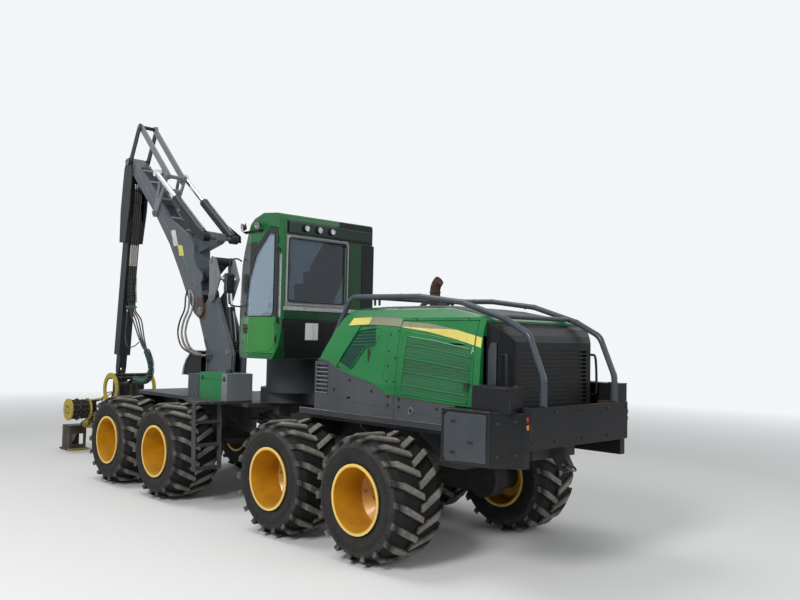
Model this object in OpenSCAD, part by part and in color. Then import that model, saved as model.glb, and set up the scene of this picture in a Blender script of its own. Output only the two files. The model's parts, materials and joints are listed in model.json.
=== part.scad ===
// Eight-wheel forestry harvester, hinged in the middle, with a parallel crane.
// The centre joint stands at x = 0 while the pieces are drawn: X points forward,
// Y to the left, Z up, and Z = 0 is the ground. At the end everything is moved
// back by mid_x, so that the origin is under the middle of the whole machine.

/* [Wheels] */
// Diameter of every tyre over its lugs
tyre_d = 1300; // [1240:10:1340]
// Width of every tyre
tyre_w = 696; // [640:4:720]
// Diameter of the rim's flange
rim_d = 700; // [640:10:760]
// Lugs on each half of a tyre's tread
lug_count = 18; // [14:1:20]
// Depth of the lugs
lug_depth = 48; // [36:2:56]
// Distance between the middles of a left tyre and a right tyre
track = 2256; // [2250:2:2320]
// Distance between the two wheels of one bogie
bogie_base = 1500; // [1440:10:1540]
// Distance from the centre joint to the middle of each bogie
half_base = 2105; // [2090:5:2150]

/* [Chassis] */
// Half of the main beam's width
beam_half = 360; // [300:5:380]
// Height of the main beam's top
beam_top = 1300; // [1280:5:1310]
// Thickness of the deck plates
deck_t = 50; // [40:2:60]
// Half of the rear deck's width, at the lip
deck_half = 860; // [840:5:900]
// Radius of the axle housings
axle_r = 140; // [120:5:150]
// Height of the axle housings' middle
axle_z = 760; // [740:5:770]
// Radius of the centre joint's pin
joint_pin_r = 55; // [45:1:65]
// Height over the ground of the tail's underside
tail_low = 1100; // [1060:5:1140]
// How far the tail's bumper stands behind the centre joint
tail_reach = 4530; // [4480:5:4600]

/* [Hood] */
// Thickness of the hood's wall
hood_t = 22; // [14:1:30]
// Half of the hood's width at its lower edge
hood_half = 880; // [860:5:900]
// Gap round the hood's side doors
panel_gap = 6; // [5:1:9]
// Slats in each side door
louvre_count = 9; // [6:1:12]
// Slats in the rear grille
grille_count = 13; // [8:1:16]
// Radius of the guard rails' tube
rail_r = 30; // [24:1:34]
// Distance from the middle to each guard rail
rail_y = 610; // [580:5:640]

/* [Cab] */
// Thickness of the cab's walls
cab_t = 45; // [35:1:60]
// Half of the cab's width at the rear
cab_half = 790; // [760:5:800]
// Distance of the cab's turning axis in front of the centre joint
cab_axis_x = 100; // [90:5:120]
// Height of the cab's floor
cab_low = 1960; // [1950:5:1990]
// Thickness of the glass
glass_t = 8; // [5:1:10]

/* [Crane] */
// Distance of the crane's turning axis in front of the centre joint
slew_x = 1950; // [1930:5:1980]
// Radius of the turning ring
slew_r = 400; // [360:5:420]
// Length of the main boom between its two pins
boom_len = 3905; // [3800:5:4000]
// Angle of the main boom over the horizontal
boom_angle = 46; // [44:0.5:48]
// Half of the main boom's width
boom_half = 150; // [150:2:160]
// Length of the jib between its pin and the hanger's pin
jib_len = 3930; // [3850:5:3960]
// Lean of the jib out of the vertical
jib_lean = 5.5; // [4:0.5:6]
// Half of the jib's width
jib_half = 110; // [100:2:120]
// Thickness of the jib's side walls with their sliding pads
jib_wall = 35; // [30:1:38]
// Radius of the large pins
pin_r = 40; // [30:1:45]
// Radius of the lift and luffing cylinders
barrel_r = 76; // [66:1:78]
// Radius of their rods
rod_r = 42; // [34:1:46]

/* [Head] */
// Length of the harvester head
head_len = 1900; // [1800:10:1950]
// Half of the harvester head's width over its frame
head_half = 330; // [300:5:360]
// Radius of the feed rollers' flanges
roller_r = 200; // [180:5:210]
// Depth of the head from its back to its lowest edge
head_depth = 628; // [610:2:636]

/* [Hidden] */
$fn = 48;

seat = 0.3;
run = 0.05;
play = 6;

wheel_r = tyre_d / 2;
half_track = track / 2;
wheel_x = [half_base + bogie_base / 2, half_base - bogie_base / 2,
           bogie_base / 2 - half_base, -bogie_base / 2 - half_base];
beam_low = axle_z + axle_r + seat;
deck_z = beam_top + deck_t;
lip_z = deck_z + 60;
hub_y = half_track - 150;

// Steering cylinders as [x, y], at one height
steer_foot = [-900, 440];
steer_eye = [420, 400];
steer_z = 1030;
ear_gap = [42, 66];

// Crane pins as [x, z] at rest
boom_pin = [2530, 2630];
plate_pin = [2140, 2870];
plate_top = [2160, 3420];
ear_pin = boom_pin + plate_top - plate_pin;
lift_foot = [1720, 2000];
lift_eye = [1970, 3140];
luff_foot = [2250, 3800];
jib_pin = boom_pin + boom_len * [cos(boom_angle), sin(boom_angle)];
rocker_arm = [-380, 600];
rocker_pin = [4130, 4380];
rocker_top = rocker_pin + rocker_arm;
jib_head = jib_pin + rocker_arm;
luff_eye = rocker_pin + [-213, 656];
jib_dir = [sin(jib_lean), -cos(jib_lean)];
hang_pin = jib_pin + jib_len * jib_dir;
tilt_pin = hang_pin + [-420, -727];
head_x = hang_pin[0] - 650;
front_reach = head_x + head_len;
mid_x = (front_reach - tail_reach) / 2;

module at_frame() translate([-mid_x, 0, 0]) children();
module both_sides() {
  children();
  mirror([0, 1, 0]) children();
}
module on_side(side) {
  if (side > 0) children();
  else mirror([0, 1, 0]) children();
}
module block(low, high) translate(low) cube(high - low);
module slab(outline, y_low, y_high)
  translate([0, y_high, 0]) rotate([90, 0, 0]) linear_extrude(y_high - y_low) polygon(outline);
module flat(outline, z_low, z_high)
  translate([0, 0, z_low]) linear_extrude(z_high - z_low) polygon(outline);
module section(outline, x_low, x_high)
  translate([x_low, 0, 0]) rotate([90, 0, 90]) linear_extrude(x_high - x_low) polygon(outline);
module pin(at, r, y_low, y_high)
  translate([at[0], y_high, at[1]]) rotate([90, 0, 0]) cylinder(r = r, h = y_high - y_low);
// A round bar between two points of the upright plane at y
module bar(from, to, r, y) {
  d = to - from;
  translate([from[0], y, from[1]]) rotate([0, atan2(d[0], d[1]), 0]) cylinder(r = r, h = norm(d));
}
// A bar of constant width with round ends, in the upright plane
module link(from, to, width, y_low, y_high) {
  d = to - from;
  n = [-d[1], d[0]] / norm(d) * width / 2;
  slab([from + n, from - n, to - n, to + n], y_low, y_high);
  pin(from, width / 2, y_low, y_high);
  pin(to, width / 2, y_low, y_high);
}
function along(from, to, length) = from + (to - from) / norm(to - from) * length;
elbow_wall = 1.5;
function heading(v) = atan2(v[1], v[0]);
function turn_at(p, i) =
  let (a = heading(p[i + 1] - p[i]) - heading(p[i] - p[i - 1])) a > 180 ? a - 360 : a < -180 ? a + 360 : a;
// A tube through points of the upright plane at y: straight bars that end inside slightly thicker elbows
module bent_tube(p, r, bend, y) {
  last = len(p) - 1;
  cut = [for (i = [0:last]) i == 0 || i == last ? 0 : bend * tan(abs(turn_at(p, i)) / 2)];
  held = [for (c = cut) c - min(12, c * 0.7)];
  for (i = [0:last - 1]) bar(along(p[i], p[i + 1], held[i]), along(p[i + 1], p[i], held[i + 1]), r, y);
  for (i = [1:last - 1]) {
    turn = turn_at(p, i);
    from = along(p[i], p[i - 1], cut[i]);
    u = (p[i] - from) / norm(p[i] - from);
    middle = from + sign(turn) * bend * [-u[1], u[0]];
    translate([middle[0], y, middle[1]]) rotate([90, 0, 0]) rotate([0, 0, heading(from - middle) + min(turn, 0)])
      rotate_extrude(angle = abs(turn), $fn = 64) translate([bend, 0]) circle(r = r + elbow_wall);
  }
}

// Wheels
module wheel_place(i, side)
  at_frame() on_side(side) translate([wheel_x[i - 1], half_track, wheel_r]) rotate([-90, 0, 0]) children();

rim_seat_r = rim_d / 2 - 18;
// Stations of a lug, from the middle of the tread outwards. Columns: shares of the half width at its foot
// and its top, drops under the tyre's radius at foot and top, turn, half of its turn at foot and top
lug_stations = [
  [-0.04, -0.04, lug_depth + 12, 0, 0, 3.6, 2.6],
  [0.62, 0.62, lug_depth + 12, 0, 11, 4, 3],
  [0.9, 1, lug_depth + 82, lug_depth + 12, 17, 3, 3]
];
// Four-sided faces of a lug: its two ends and the four sides between one station and the next
lug_faces = [[0, 1, 2, 3], for (k = [0, 4]) for (i = [0:3]) [k + i, k + i + 4, k + (i + 1) % 4 + 4, k + (i + 1) % 4],
             [11, 10, 9, 8]];
function ring_point(r, z, a) = [r * cos(a), r * sin(a), z];
module lug(first) {
  w = tyre_w / 2;
  points = [for (s = lug_stations) each [
    ring_point(wheel_r - s[2], w * s[0], first + s[4] - s[5]), ring_point(wheel_r - s[2], w * s[0], first + s[4] + s[5]),
    ring_point(wheel_r - s[3], w * s[1], first + s[4] + s[6]), ring_point(wheel_r - s[3], w * s[1], first + s[4] - s[6])]];
  polyhedron(points, [for (f = lug_faces) each [[f[2], f[1], f[0]], [f[3], f[2], f[0]]]]);
}
module tyre_shape() {
  w = tyre_w / 2;
  outline = [
    [rim_seat_r + seat, w - 50], [rim_d / 2 + 20, w - 34], [rim_d / 2 + 90, w - 10], [rim_d / 2 + 170, w - 12],
    [wheel_r - lug_depth - 40, w - 40], [wheel_r - lug_depth, w - 120]
  ];
  inner = [[wheel_r - 110, 0], [wheel_r - 110, w - 120], [rim_d / 2 + 120, w - 60], [rim_seat_r + seat, w - 92]];
  mirrored = [for (i = [len(outline) - 1:-1:0]) [outline[i][0], -outline[i][1]]];
  low_inner = [for (i = [len(inner) - 1:-1:1]) [inner[i][0], -inner[i][1]]];
  rotate_extrude($fn = 64) polygon(concat(outline, mirrored, low_inner, inner));
  // the first lug's edge points straight down and stands on the ground
  first = 90 - lug_stations[0][6];
  for (i = [0:lug_count - 1]) {
    lug(first + i * 360 / lug_count);
    mirror([0, 0, 1]) lug(first + (i + 0.5) * 360 / lug_count);
  }
}
module rim_shape() {
  w = tyre_w / 2;
  half = [[rim_seat_r, 0], [rim_seat_r, w - 30], [rim_d / 2 + 2, w - 24], [rim_d / 2 + 2, w - 12],
          [rim_seat_r - 14, w - 14], [rim_seat_r - 14, 0]];
  difference() {
    union() {
      rotate_extrude($fn = 64) polygon(concat(half, [for (i = [len(half) - 2:-1:1]) [half[i][0], -half[i][1]]]));
      rotate_extrude($fn = 64) polygon([
        [0, -150], [240, -150], [rim_seat_r - 8, -60], [rim_seat_r - 8, -40], [236, -128], [130, -128],
        [118, -40], [96, -28], [0, -28]]);
    }
    translate([0, 0, -160]) cylinder(r = 60 + run, h = 100);
  }
}
module tyre(i, side) color("#2b2b29") wheel_place(i, side) tyre_shape();
module rim(i, side) color("#d8a414") wheel_place(i, side) rim_shape();

// Bogies: the axle housing and a rocking beam with two hubs on each side
module bogie(x) {
  beam_y = [490, 700];
  pin([x, axle_z], axle_r, -beam_y[0] - 20, beam_y[0] + 20);
  intersection() {
    translate([x, 0, axle_z]) sphere(r = axle_r + 45);
    block([x - 300, -300, axle_z - 300], [x + 300, 300, axle_z + axle_r - 2]);
  }
  both_sides() {
    slab([[x - bogie_base / 2, wheel_r - 150], [x + bogie_base / 2, wheel_r - 150],
          [x + bogie_base / 2 + 40, wheel_r + 60], [x + 240, axle_z + 190], [x - 240, axle_z + 190],
          [x - bogie_base / 2 - 40, wheel_r + 60]], beam_y[0], beam_y[1]);
    for (dx = [-bogie_base / 2, bogie_base / 2]) {
      pin([x + dx, wheel_r], 210, beam_y[0] - 1, beam_y[1] + 20);
      pin([x + dx, wheel_r], 150, beam_y[1], hub_y - play);
      pin([x + dx, wheel_r], 60, beam_y[1], hub_y + 80);
    }
  }
}
module rear_bogies() color("#303236") at_frame() bogie(-half_base);
module front_bogies() color("#303236") at_frame() bogie(half_base);

// Rear frame: beam, deck with its lip, gussets and the fork of the centre joint
fork_gap = [880, 1130];
fork_r = 135;
// Eye of the tow lug as [x, z]: low enough for its cross pin to pass under the tail's boxes
tow_at = [-4345, tail_low - 60];
module fork_plate(z_low, z_high)
  flat([[-560, -220], [-560, 220], [-40, fork_r - 8], [-40, 8 - fork_r]], z_low, z_high);
// A pair of eye plates, over and under a steering cylinder
module steer_ears(outline) for (z = [steer_z - ear_gap[1], steer_z + ear_gap[0]]) flat(outline, z, z + ear_gap[1] - ear_gap[0]);
module rear_frame() color("#3b3e42") at_frame() {
  difference() {
    union() {
      intersection() {
        slab([[-480, 830], [-480, beam_top], [-4200, beam_top], [-4200, tail_low], [-3300, beam_low],
              [-950, beam_low], [-800, 830]], -beam_half, beam_half);
        flat([[-480, 200], [-1000, beam_half], [-4200, beam_half], [-4200, -beam_half], [-1000, -beam_half], [-480, -200]],
             800, 1400);
      }
      flat([[-1060, 560], [-1060, -560], [-1200, -780], [-4240, -780], [-4240, 780], [-1200, 780]],
           beam_top - 1, deck_z);
      both_sides() {
        block([-3640, deck_half - 60, deck_z - 2], [-1120, deck_half, lip_z]);
        block([-3640, 760, deck_z - 20], [-1120, deck_half - 40, deck_z]);
        for (x = [-1180, -2105, -3060])
          section([[beam_half - 2, beam_low + 60], [beam_half - 2, beam_top + 2], [740, beam_top + 2], [740, beam_top - 40]],
                  x - 15, x + 15);
      }
      for (z = [fork_gap[0] - 70, fork_gap[1]]) {
        fork_plate(z, z + 70);
        translate([0, 0, z]) cylinder(r = fork_r, h = 70);
      }
      translate([0, 0, fork_gap[0] - 90]) cylinder(r = joint_pin_r, h = fork_gap[1] - fork_gap[0] + 180);
      both_sides() steer_ears([[steer_foot[0] - 130, beam_half - 60], [steer_foot[0] - 60, steer_foot[1] + 45],
        [steer_foot[0] + 40, steer_foot[1] + 45], [steer_foot[0] + 60, beam_half - 80]]);
    }
    both_sides() translate([steer_foot[0], steer_foot[1], 900]) cylinder(r = 22 + run, h = 300);
    block([-5000, -250, tail_low - 200], [-4080, 250, tail_low - 1]);
  }
  difference() {
    slab([tow_at + [150, 205], tow_at + [150, 65], tow_at + [55, -45], tow_at + [0, -66], tow_at + [-50, -45],
          tow_at + [-62, 10], tow_at + [-25, 72], tow_at + [70, 205]], -35, 35);
    pin(tow_at, 26, -40, 40);
  }
}

module engine_block() color("#4a4d50") at_frame()
  block([-3300, -400, deck_z + seat], [-1980, 400, 2250]);

// Hood: two outlines meet, one seen from the side and one from behind
hood_front = -1500;
hood_rear = -3950;
door_x = [-3870, -2800];
door_top = 2450;
hood_lower = [[-1660, 1980], [-1940, 1870], [-2480, 1760], [-2660, 1660], [-3730, 1612]];
hood_side = [[hood_front, 2010], each hood_lower, [hood_rear, 1612], [hood_rear, 2455], [-3840, 2495], [-3300, 2595],
             [-2700, 2650], [-1935, 2600], [-1870, 2565]];
hood_back = [[hood_half, 1500], [hood_half, 1760], [hood_half - 20, 2100], [hood_half - 60, 2340], [hood_half - 110, 2480],
             [hood_half - 200, 2570], [500, 2615], [0, 2640]];
hood_section = concat(hood_back, [for (i = [len(hood_back) - 2:-1:0]) [-hood_back[i][0], hood_back[i][1]]]);
module hood_form(inset) intersection() {
  translate([0, 1200, 0]) rotate([90, 0, 0]) linear_extrude(2400) offset(delta = -inset) polygon(hood_side);
  translate([-4200, 0, 0]) rotate([90, 0, 90]) linear_extrude(3000) offset(delta = -inset) polygon(hood_section);
}
module hood_shell() difference() {
  hood_form(0);
  hood_form(hood_t);
  block([-3920, -820, 1500], [-1750, 820, 1900]);
  block([-4100, -820, 1500], [-3900, 820, 2300]);
}
module door_zone(gap)
  slab([[door_x[0] + gap, 1500], [door_x[1] - gap, 1500], [door_x[1] - gap, door_top - gap], [door_x[0] + gap, door_top - gap]],
       500, 1000);
// Hinge of the side doors: y, z of its axis and the middles of its two knuckles
hinge_at = [776, door_top + 4];
knuckle_x = [-3700, -2970];
module along_x(at, r, x_low, x_high) translate([x_low, at[0], at[1]]) rotate([0, 90, 0]) cylinder(r = r, h = x_high - x_low);
// Recess in each side of the hood's front, with slots in its upper part
recess = [[-2140, 2395], [-2405, 2395], [-2445, 2190], [-2340, 1995], [-2010, 1885], [-1800, 1920], [-2085, 2285]];
module hood() color("#2f6b2c") at_frame() {
  difference() {
    hood_shell();
    both_sides() {
      difference() {
        slab(recess, 600, 1000);
        hood_form(hood_t * 0.55);
      }
      for (i = [0:3]) block([-2400 + i * 12, 600, 2192 + i * 40], [-2150, 1000, 2208 + i * 40]);
      door_zone(0);
      for (x = knuckle_x) along_x(hinge_at, 17, x - 36, x + 36);
    }
  }
  both_sides() for (x = knuckle_x) along_x(hinge_at, 6, x - 44, x + 44);
}
module hood_door(side) color("#2f7a2c") at_frame() on_side(side) {
  pitch = 430 / louvre_count;
  difference() {
    intersection() {
      hood_shell();
      door_zone(panel_gap);
    }
    for (i = [0:louvre_count - 1])
      translate([-3790 + i * 2, 700, 1745 + i * pitch]) rotate([28, 0, 0]) cube([860, 400, pitch * 0.35]);
  }
  for (x = knuckle_x) difference() {
    union() {
      along_x(hinge_at, 12, x - 30, x + 30);
      block([x - 30, hinge_at[0] - 16, hinge_at[1] - 40], [x + 30, hinge_at[0] + 4, hinge_at[1]]);
    }
    along_x(hinge_at, 6 + run, x - 40, x + 40);
  }
}
module hood_door_left() hood_door(1);
module hood_door_right() hood_door(-1);

// Tail cowl with the radiator grille
module tail_cowl() color("#26282b") at_frame() {
  plan = [[hood_rear - seat, 772], [-4090, 760], [-4200, 640], [-4200, -640], [-4090, -760], [hood_rear - seat, -772]];
  inner = [[-3900, 742], [-4075, 732], [-4168, 620], [-4168, -620], [-4075, -732], [-3900, -742]];
  difference() {
    intersection() {
      flat(plan, deck_z + seat, 2500);
      slab([[-3940, 1300], [-3940, 2440], [-4050, 2390], [-4150, 2310], [-4300, 2120], [-4300, 1300]], -900, 900);
    }
    intersection() {
      flat(inner, lip_z, 2500);
      slab([[-3900, 1300], [-3900, 2420], [-4050, 2358], [-4130, 2290], [-4300, 2080], [-4300, 1300]], -880, 880);
    }
    for (i = [0:grille_count - 1]) block([-4300, -560, 1640 + i * 42], [-4150, 560, 1664 + i * 42]);
  }
}

// Grey covers between the hood and the deck's lip, and the slatted intake boxes in front of them
intake_top = 1974;
module side_covers() color("#55585b") at_frame() both_sides() {
  difference() {
    slab([hood_lower[0] + [0, -400], for (p = hood_lower) p - [0, seat], hood_lower[4] + [0, -150]], deck_half - 20, hood_half - 8);
    block([-1665, 0, 1300], [-1600, 1000, 2100]);
    block([-3800, 0, 1300], [-3640, 1000, 2100]);
    block([-4000, 0, 1200], [-1500, 1000, lip_z + seat]);
    pin([-2040, 1560], 38, 700, 1000);
  }
  difference() {
    union() {
      block([-1660, 560, deck_z + seat], [-1395, 790, intake_top]);
      block([-1660, 560, lip_z + seat], [-1395, 850, intake_top]);
    }
    for (i = [0:6]) block([-1630, 820, 1620 + i * 48], [-1425, 900, 1646 + i * 48]);
    for (i = [0:6]) block([-1420, 600, 1620 + i * 48], [-1300, 810, 1646 + i * 48]);
  }
}

// Guard rails over the hood
// Columns: x, z
rail_points = [[25 - tail_reach, 1660], [25 - tail_reach, 1915], [200 - tail_reach, 2320], [-4040, 2470], [-3480, 2640],
               [-2870, 2715], [-1745, 2735], [-1265, 1981]];
rail_bend = 160;
module guard_rails() color("#3a4148") at_frame() {
  both_sides() {
    bent_tube(rail_points, rail_r, rail_bend, rail_y);
    block([-1460, rail_y - 60, intake_top + seat], [-1215, rail_y + 60, intake_top + 26]);
    slab([[-1394, intake_top + 1], [-1215, intake_top + 1], [-1394, intake_top - 130]], rail_y - 8, rail_y + 8);
    translate([-tail_reach, 0, 0])
      slab([[-10, 1650 + seat], [60, 1650 + seat], [60, 1800], [30, 1860], [-10, 1860]], rail_y - 8, rail_y + 8);
    slab([[-1640, 2640], [-1500, 2420], [-1500, 2340], [-1700, 2655]], rail_y - 8, rail_y + 8);
  }
  for (at = [along(rail_points[6], rail_points[5], 180), along(rail_points[3], rail_points[4], 90)])
    pin(at, rail_r - 6, -rail_y, rail_y);
}

// Tail boxes, the bumper basket behind them and the toolbox on the deck
tail_half = 1070;
module tail_boxes() color("#33363a") at_frame() {
  back = -tail_reach;
  both_sides() flat([[-3650, 780 + seat], [-3650, tail_half], [-4240, tail_half], [back + 50, 860], [back + 50, 780 + seat]],
                    tail_low, 1600);
  difference() {
    flat([[-4250, 780 + seat], [-4250, -780 - seat], [back + 50, -860], [back, -830], [back, 830], [back + 50, 860]], 1270, 1650);
    flat([[-4200, 700], [-4200, -700], [back + 35, -790], [back + 35, 790]], 1300, 1700);
  }
  both_sides() block([-4420, 810, 1600 - 1], [-3970, 1000, 1820]);
}

module exhaust() color("#6a4a38") at_frame() {
  difference() {
    translate([-2300, -230, 2560]) cylinder(r = 62, h = 276);
    hood_form(-seat);
  }
  translate([-2300 - 150, -230, 2836]) rotate([90, 0, 0]) rotate_extrude(angle = 55, $fn = 64)
    translate([150, 0]) circle(r = 62);
}

// Front frame: beam, tongue of the centre joint, cab and crane pedestals
module front_frame() color("#36393d") at_frame() {
  difference() {
    union() {
      intersection() {
        slab([[230, 860], [230, beam_top], [3440, beam_top], [3500, 1250], [3500, 960], [3360, beam_low],
              [700, beam_low], [520, 830]], -beam_half, beam_half);
        flat([[230, 190], [620, beam_half], [3600, beam_half], [3600, -beam_half], [620, -beam_half], [230, -190]], 800, 1400);
      }
      flat([[240, 170], [-20, fork_r - 10], [-20, 10 - fork_r], [240, -170]], fork_gap[0] + play, fork_gap[1] - play);
      translate([0, 0, fork_gap[0] + play]) cylinder(r = fork_r, h = fork_gap[1] - fork_gap[0] - 2 * play);
      flat([[240, 700], [240, -700], [900, -760], [3300, -760], [3440, -600], [3440, 600], [3300, 760], [900, 760]],
           beam_top - 1, deck_z);
      translate([cab_axis_x + 200, 0, deck_z - 1]) cylinder(r = 380, h = 200);
      translate([cab_axis_x, 0, deck_z + 150]) cylinder(r = 420, h = cab_low - deck_z - 150 - play);
      translate([cab_axis_x, 0, cab_low - 20]) cylinder(r = 120, h = 60);
      translate([slew_x, 0, deck_z - 1]) cylinder(r = slew_r, h = 200);
      block([3490, -520, 920], [3540, 520, 1320]);
      both_sides() {
        for (x = [900, 2105, 3300]) section([[beam_half - 2, beam_low + 60], [beam_half - 2, beam_top + 2],
          [740, beam_top + 2], [740, beam_top - 40]], x - 15, x + 15);
        steer_ears([[steer_eye[0] - 60, 200], [steer_eye[0] - 40, steer_eye[1] + 30], [steer_eye[0] + 50, steer_eye[1] + 40],
                    [steer_eye[0] + 300, beam_half - 10]]);
        for (z = [steer_z - ear_gap[1] - 12, steer_z + ear_gap[0]])
          translate([steer_eye[0], steer_eye[1], z]) cylinder(r = 26, h = ear_gap[1] - ear_gap[0] + 12);
      }
    }
    translate([0, 0, 800]) cylinder(r = joint_pin_r + run, h = 500);
    for (y = [-400, 400], z = [980, 1240]) translate([3400, y, z]) rotate([0, 90, 0]) cylinder(r = 13, h = 200);
  }
}

module side_boxes() color("#2f7a2c") at_frame() both_sides() {
  block([350, 560, deck_z + 30 + seat], [1060, 960, 1740]);
  block([1180, 540, deck_z + seat], [1480, 900, 1700]);
}
module platform() color("#3a3d40") at_frame() {
  front = wheel_x[1] - wheel_r - 15;
  both_sides() block([345, 560, deck_z + seat], [1065, 1180, deck_z + 30]);
  block([front - 290, 1170, deck_z + seat], [front, 1360, deck_z + 30]);
  for (y = [960, 1340])
    slab([[front - 270, 480], [front - 170, 480], [front - 130, deck_z + 20], [front - 220, deck_z + 20]], y, y + 12);
  for (i = [0:2]) block([front - 250 + i * 15, 960, 490 + i * 300], [front - 130 + i * 15, 1350, 520 + i * 300]);
}

// Steering cylinders
module steer_line(side) at_frame() on_side(side) translate([steer_foot[0], steer_foot[1], steer_z])
  rotate([0, 0, atan2(steer_eye[1] - steer_foot[1], steer_eye[0] - steer_foot[0])]) children();
steer_len = norm(steer_eye - steer_foot);
module steer_barrel(side) color("#2c2f33") steer_line(side) difference() {
  union() {
    translate([0, 0, -34]) cylinder(r = 40, h = 68);
    translate([30, 0, 0]) rotate([0, 90, 0]) cylinder(r = 36, h = 660);
    translate([0, 0, -ear_gap[1]]) cylinder(r = 22, h = 2 * ear_gap[1]);
  }
  translate([50, 0, 0]) rotate([0, 90, 0]) cylinder(r = 24 + run, h = 700);
}
module steer_rod(side) color("#c9ccd0") steer_line(side) {
  translate([420, 0, 0]) rotate([0, 90, 0]) cylinder(r = 24, h = steer_len - 450);
  translate([steer_len, 0, -32]) cylinder(r = 40, h = 64);
}
module steer_barrel_left() steer_barrel(1);
module steer_barrel_right() steer_barrel(-1);
module steer_rod_left() steer_rod(1);
module steer_rod_right() steer_rod(-1);

// Cab: side outline and plan meet, like the hood
cab_side = [[-570, 2420], [-570, 3740], [-500, 3840], [-150, 3870], [60, 3810], [220, 3690], [460, 3400], [660, 3060],
            [800, 2700], [850, 2400], [820, 2180], [690, 2010], [520, cab_low], [-420, cab_low], [-530, 2120]];
cab_plan = [[-570, cab_half], [150, cab_half], [560, 640], [860, 470]];
cab_floor = concat(cab_plan, [for (i = [len(cab_plan) - 1:-1:0]) [cab_plan[i][0], -cab_plan[i][1]]]);
cab_round = 70;
module rounded(outline, inset) offset(r = cab_round, $fn = 32) offset(delta = -cab_round - inset) polygon(outline);
module cab_form(inset) intersection() {
  translate([0, 1000, 0]) rotate([90, 0, 0]) linear_extrude(2000) rounded(cab_side, inset);
  translate([0, 0, 1500]) linear_extrude(3000) rounded(cab_floor, inset);
}
door_outline = [[-450, 2030], [-490, 2200], [-490, 3650], [-300, 3690], [60, 3380], [330, 2800], [400, 2440], [330, 2180], [200, 2030]];
door_window = [[-400, 2520], [-400, 3560], [-290, 3600], [10, 3320], [270, 2760], [310, 2520]];
module side_cut(outline, gap, y_low) translate([0, 1000, 0]) rotate([90, 0, 0])
  linear_extrude(1000 - y_low) offset(delta = -gap) polygon(outline);
module screen_zone(gap) intersection() {
  slab([[480, 2330 + gap], [900, 2330 + gap], [900, 3700], [250, 3700], [120, 3560 - gap]], gap - 560, 560 - gap);
  flat([[150, 560], [1000, 440], [1000, -440], [150, -560]], 2000, 4000);
}
rear_window = [[-265, 690], [2705, 3520]];
// Lamps in the dark strip over the rear window: their y
rear_lamps = [8, 222, 436];
// Hinge of the cab door: x, y of its axis and the heights of its two knuckles
door_hinge = [-488, cab_half + 14];
door_knuckles = [2480, 3360];
module upright(at, r, z_low, z_high) translate([at[0], at[1], z_low]) cylinder(r = r, h = z_high - z_low);
module cab_shell() color("#2f6b2c") at_frame() {
  cab_body();
  difference() {
    block([-582, rear_window[0][0] - 32, rear_window[1][0] - 95], [-565, rear_window[0][1] + 32, rear_window[1][1] + 40]);
    block([-700, rear_window[0][0], rear_window[1][0]], [-400, rear_window[0][1], rear_window[1][1]]);
  }
  slab([[-565, 3585], [-598, 3590], [-598, 3720], [-530, 3800], [-500, 3800]], -700, 700);
  for (y = rear_lamps) difference() {
    along_x([y, 3662], 46, -632, -590);
    along_x([y, 3662], 38, -640, -618);
  }
  for (z = door_knuckles) {
    upright(door_hinge, 6, z - 44, z + 44);
    for (low = [z - 44, z + 36])
      block([door_hinge[0] - 26, cab_half - 4, low], [door_hinge[0] + 2, door_hinge[1] + 8, low + 8]);
  }
}
module cab_body() difference() {
  cab_form(0);
  cab_form(cab_t);
  side_cut(door_outline, 0, 500);
  mirror([0, 1, 0]) side_cut(door_window, 0, 500);
  screen_zone(0);
  block([-700, rear_window[0][0], rear_window[1][0]], [-400, rear_window[0][1], rear_window[1][1]]);
  translate([cab_axis_x, 0, cab_low - 10]) cylinder(r = 120 + run, h = 80);
}
module cab_skin(inset, t) difference() {
  cab_form(inset);
  cab_form(inset + t);
}
module cab_glass() color("#9fb6c4") at_frame() intersection() {
  cab_skin(12, glass_t);
  union() {
    mirror([0, 1, 0]) side_cut(door_window, seat, 500);
    screen_zone(seat);
    block([-700, rear_window[0][0] + seat, rear_window[1][0] + seat], [-400, rear_window[0][1] - seat, rear_window[1][1] - seat]);
  }
}
module cab_door() color("#2f7a2c") at_frame() {
  difference() {
    intersection() {
      cab_skin(0, cab_t);
      side_cut(door_outline, play, 500);
    }
    side_cut(door_window, 0, 500);
  }
  for (z = door_knuckles) difference() {
    union() {
      upright(door_hinge, 12, z - 30, z + 30);
      block([door_hinge[0], cab_half - 3, z - 30], [door_hinge[0] + 50, cab_half + 8, z + 30]);
    }
    upright(door_hinge, 6 + run, z - 40, z + 40);
  }
}
module door_glass() color("#9fb6c4") at_frame() intersection() {
  cab_skin(12, glass_t);
  side_cut(door_window, seat, 500);
}
module cab_seat() color("#2a2a2c") at_frame() {
  translate([cab_axis_x, 0, cab_low + cab_t + seat]) cylinder(r = 160, h = 300);
  block([-150, -260, cab_low + cab_t + 299], [380, 260, cab_low + cab_t + 430]);
  slab([[-150, 2400], [-20, 2400], [-130, 3150], [-240, 3150]], -240, 240);
}

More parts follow.
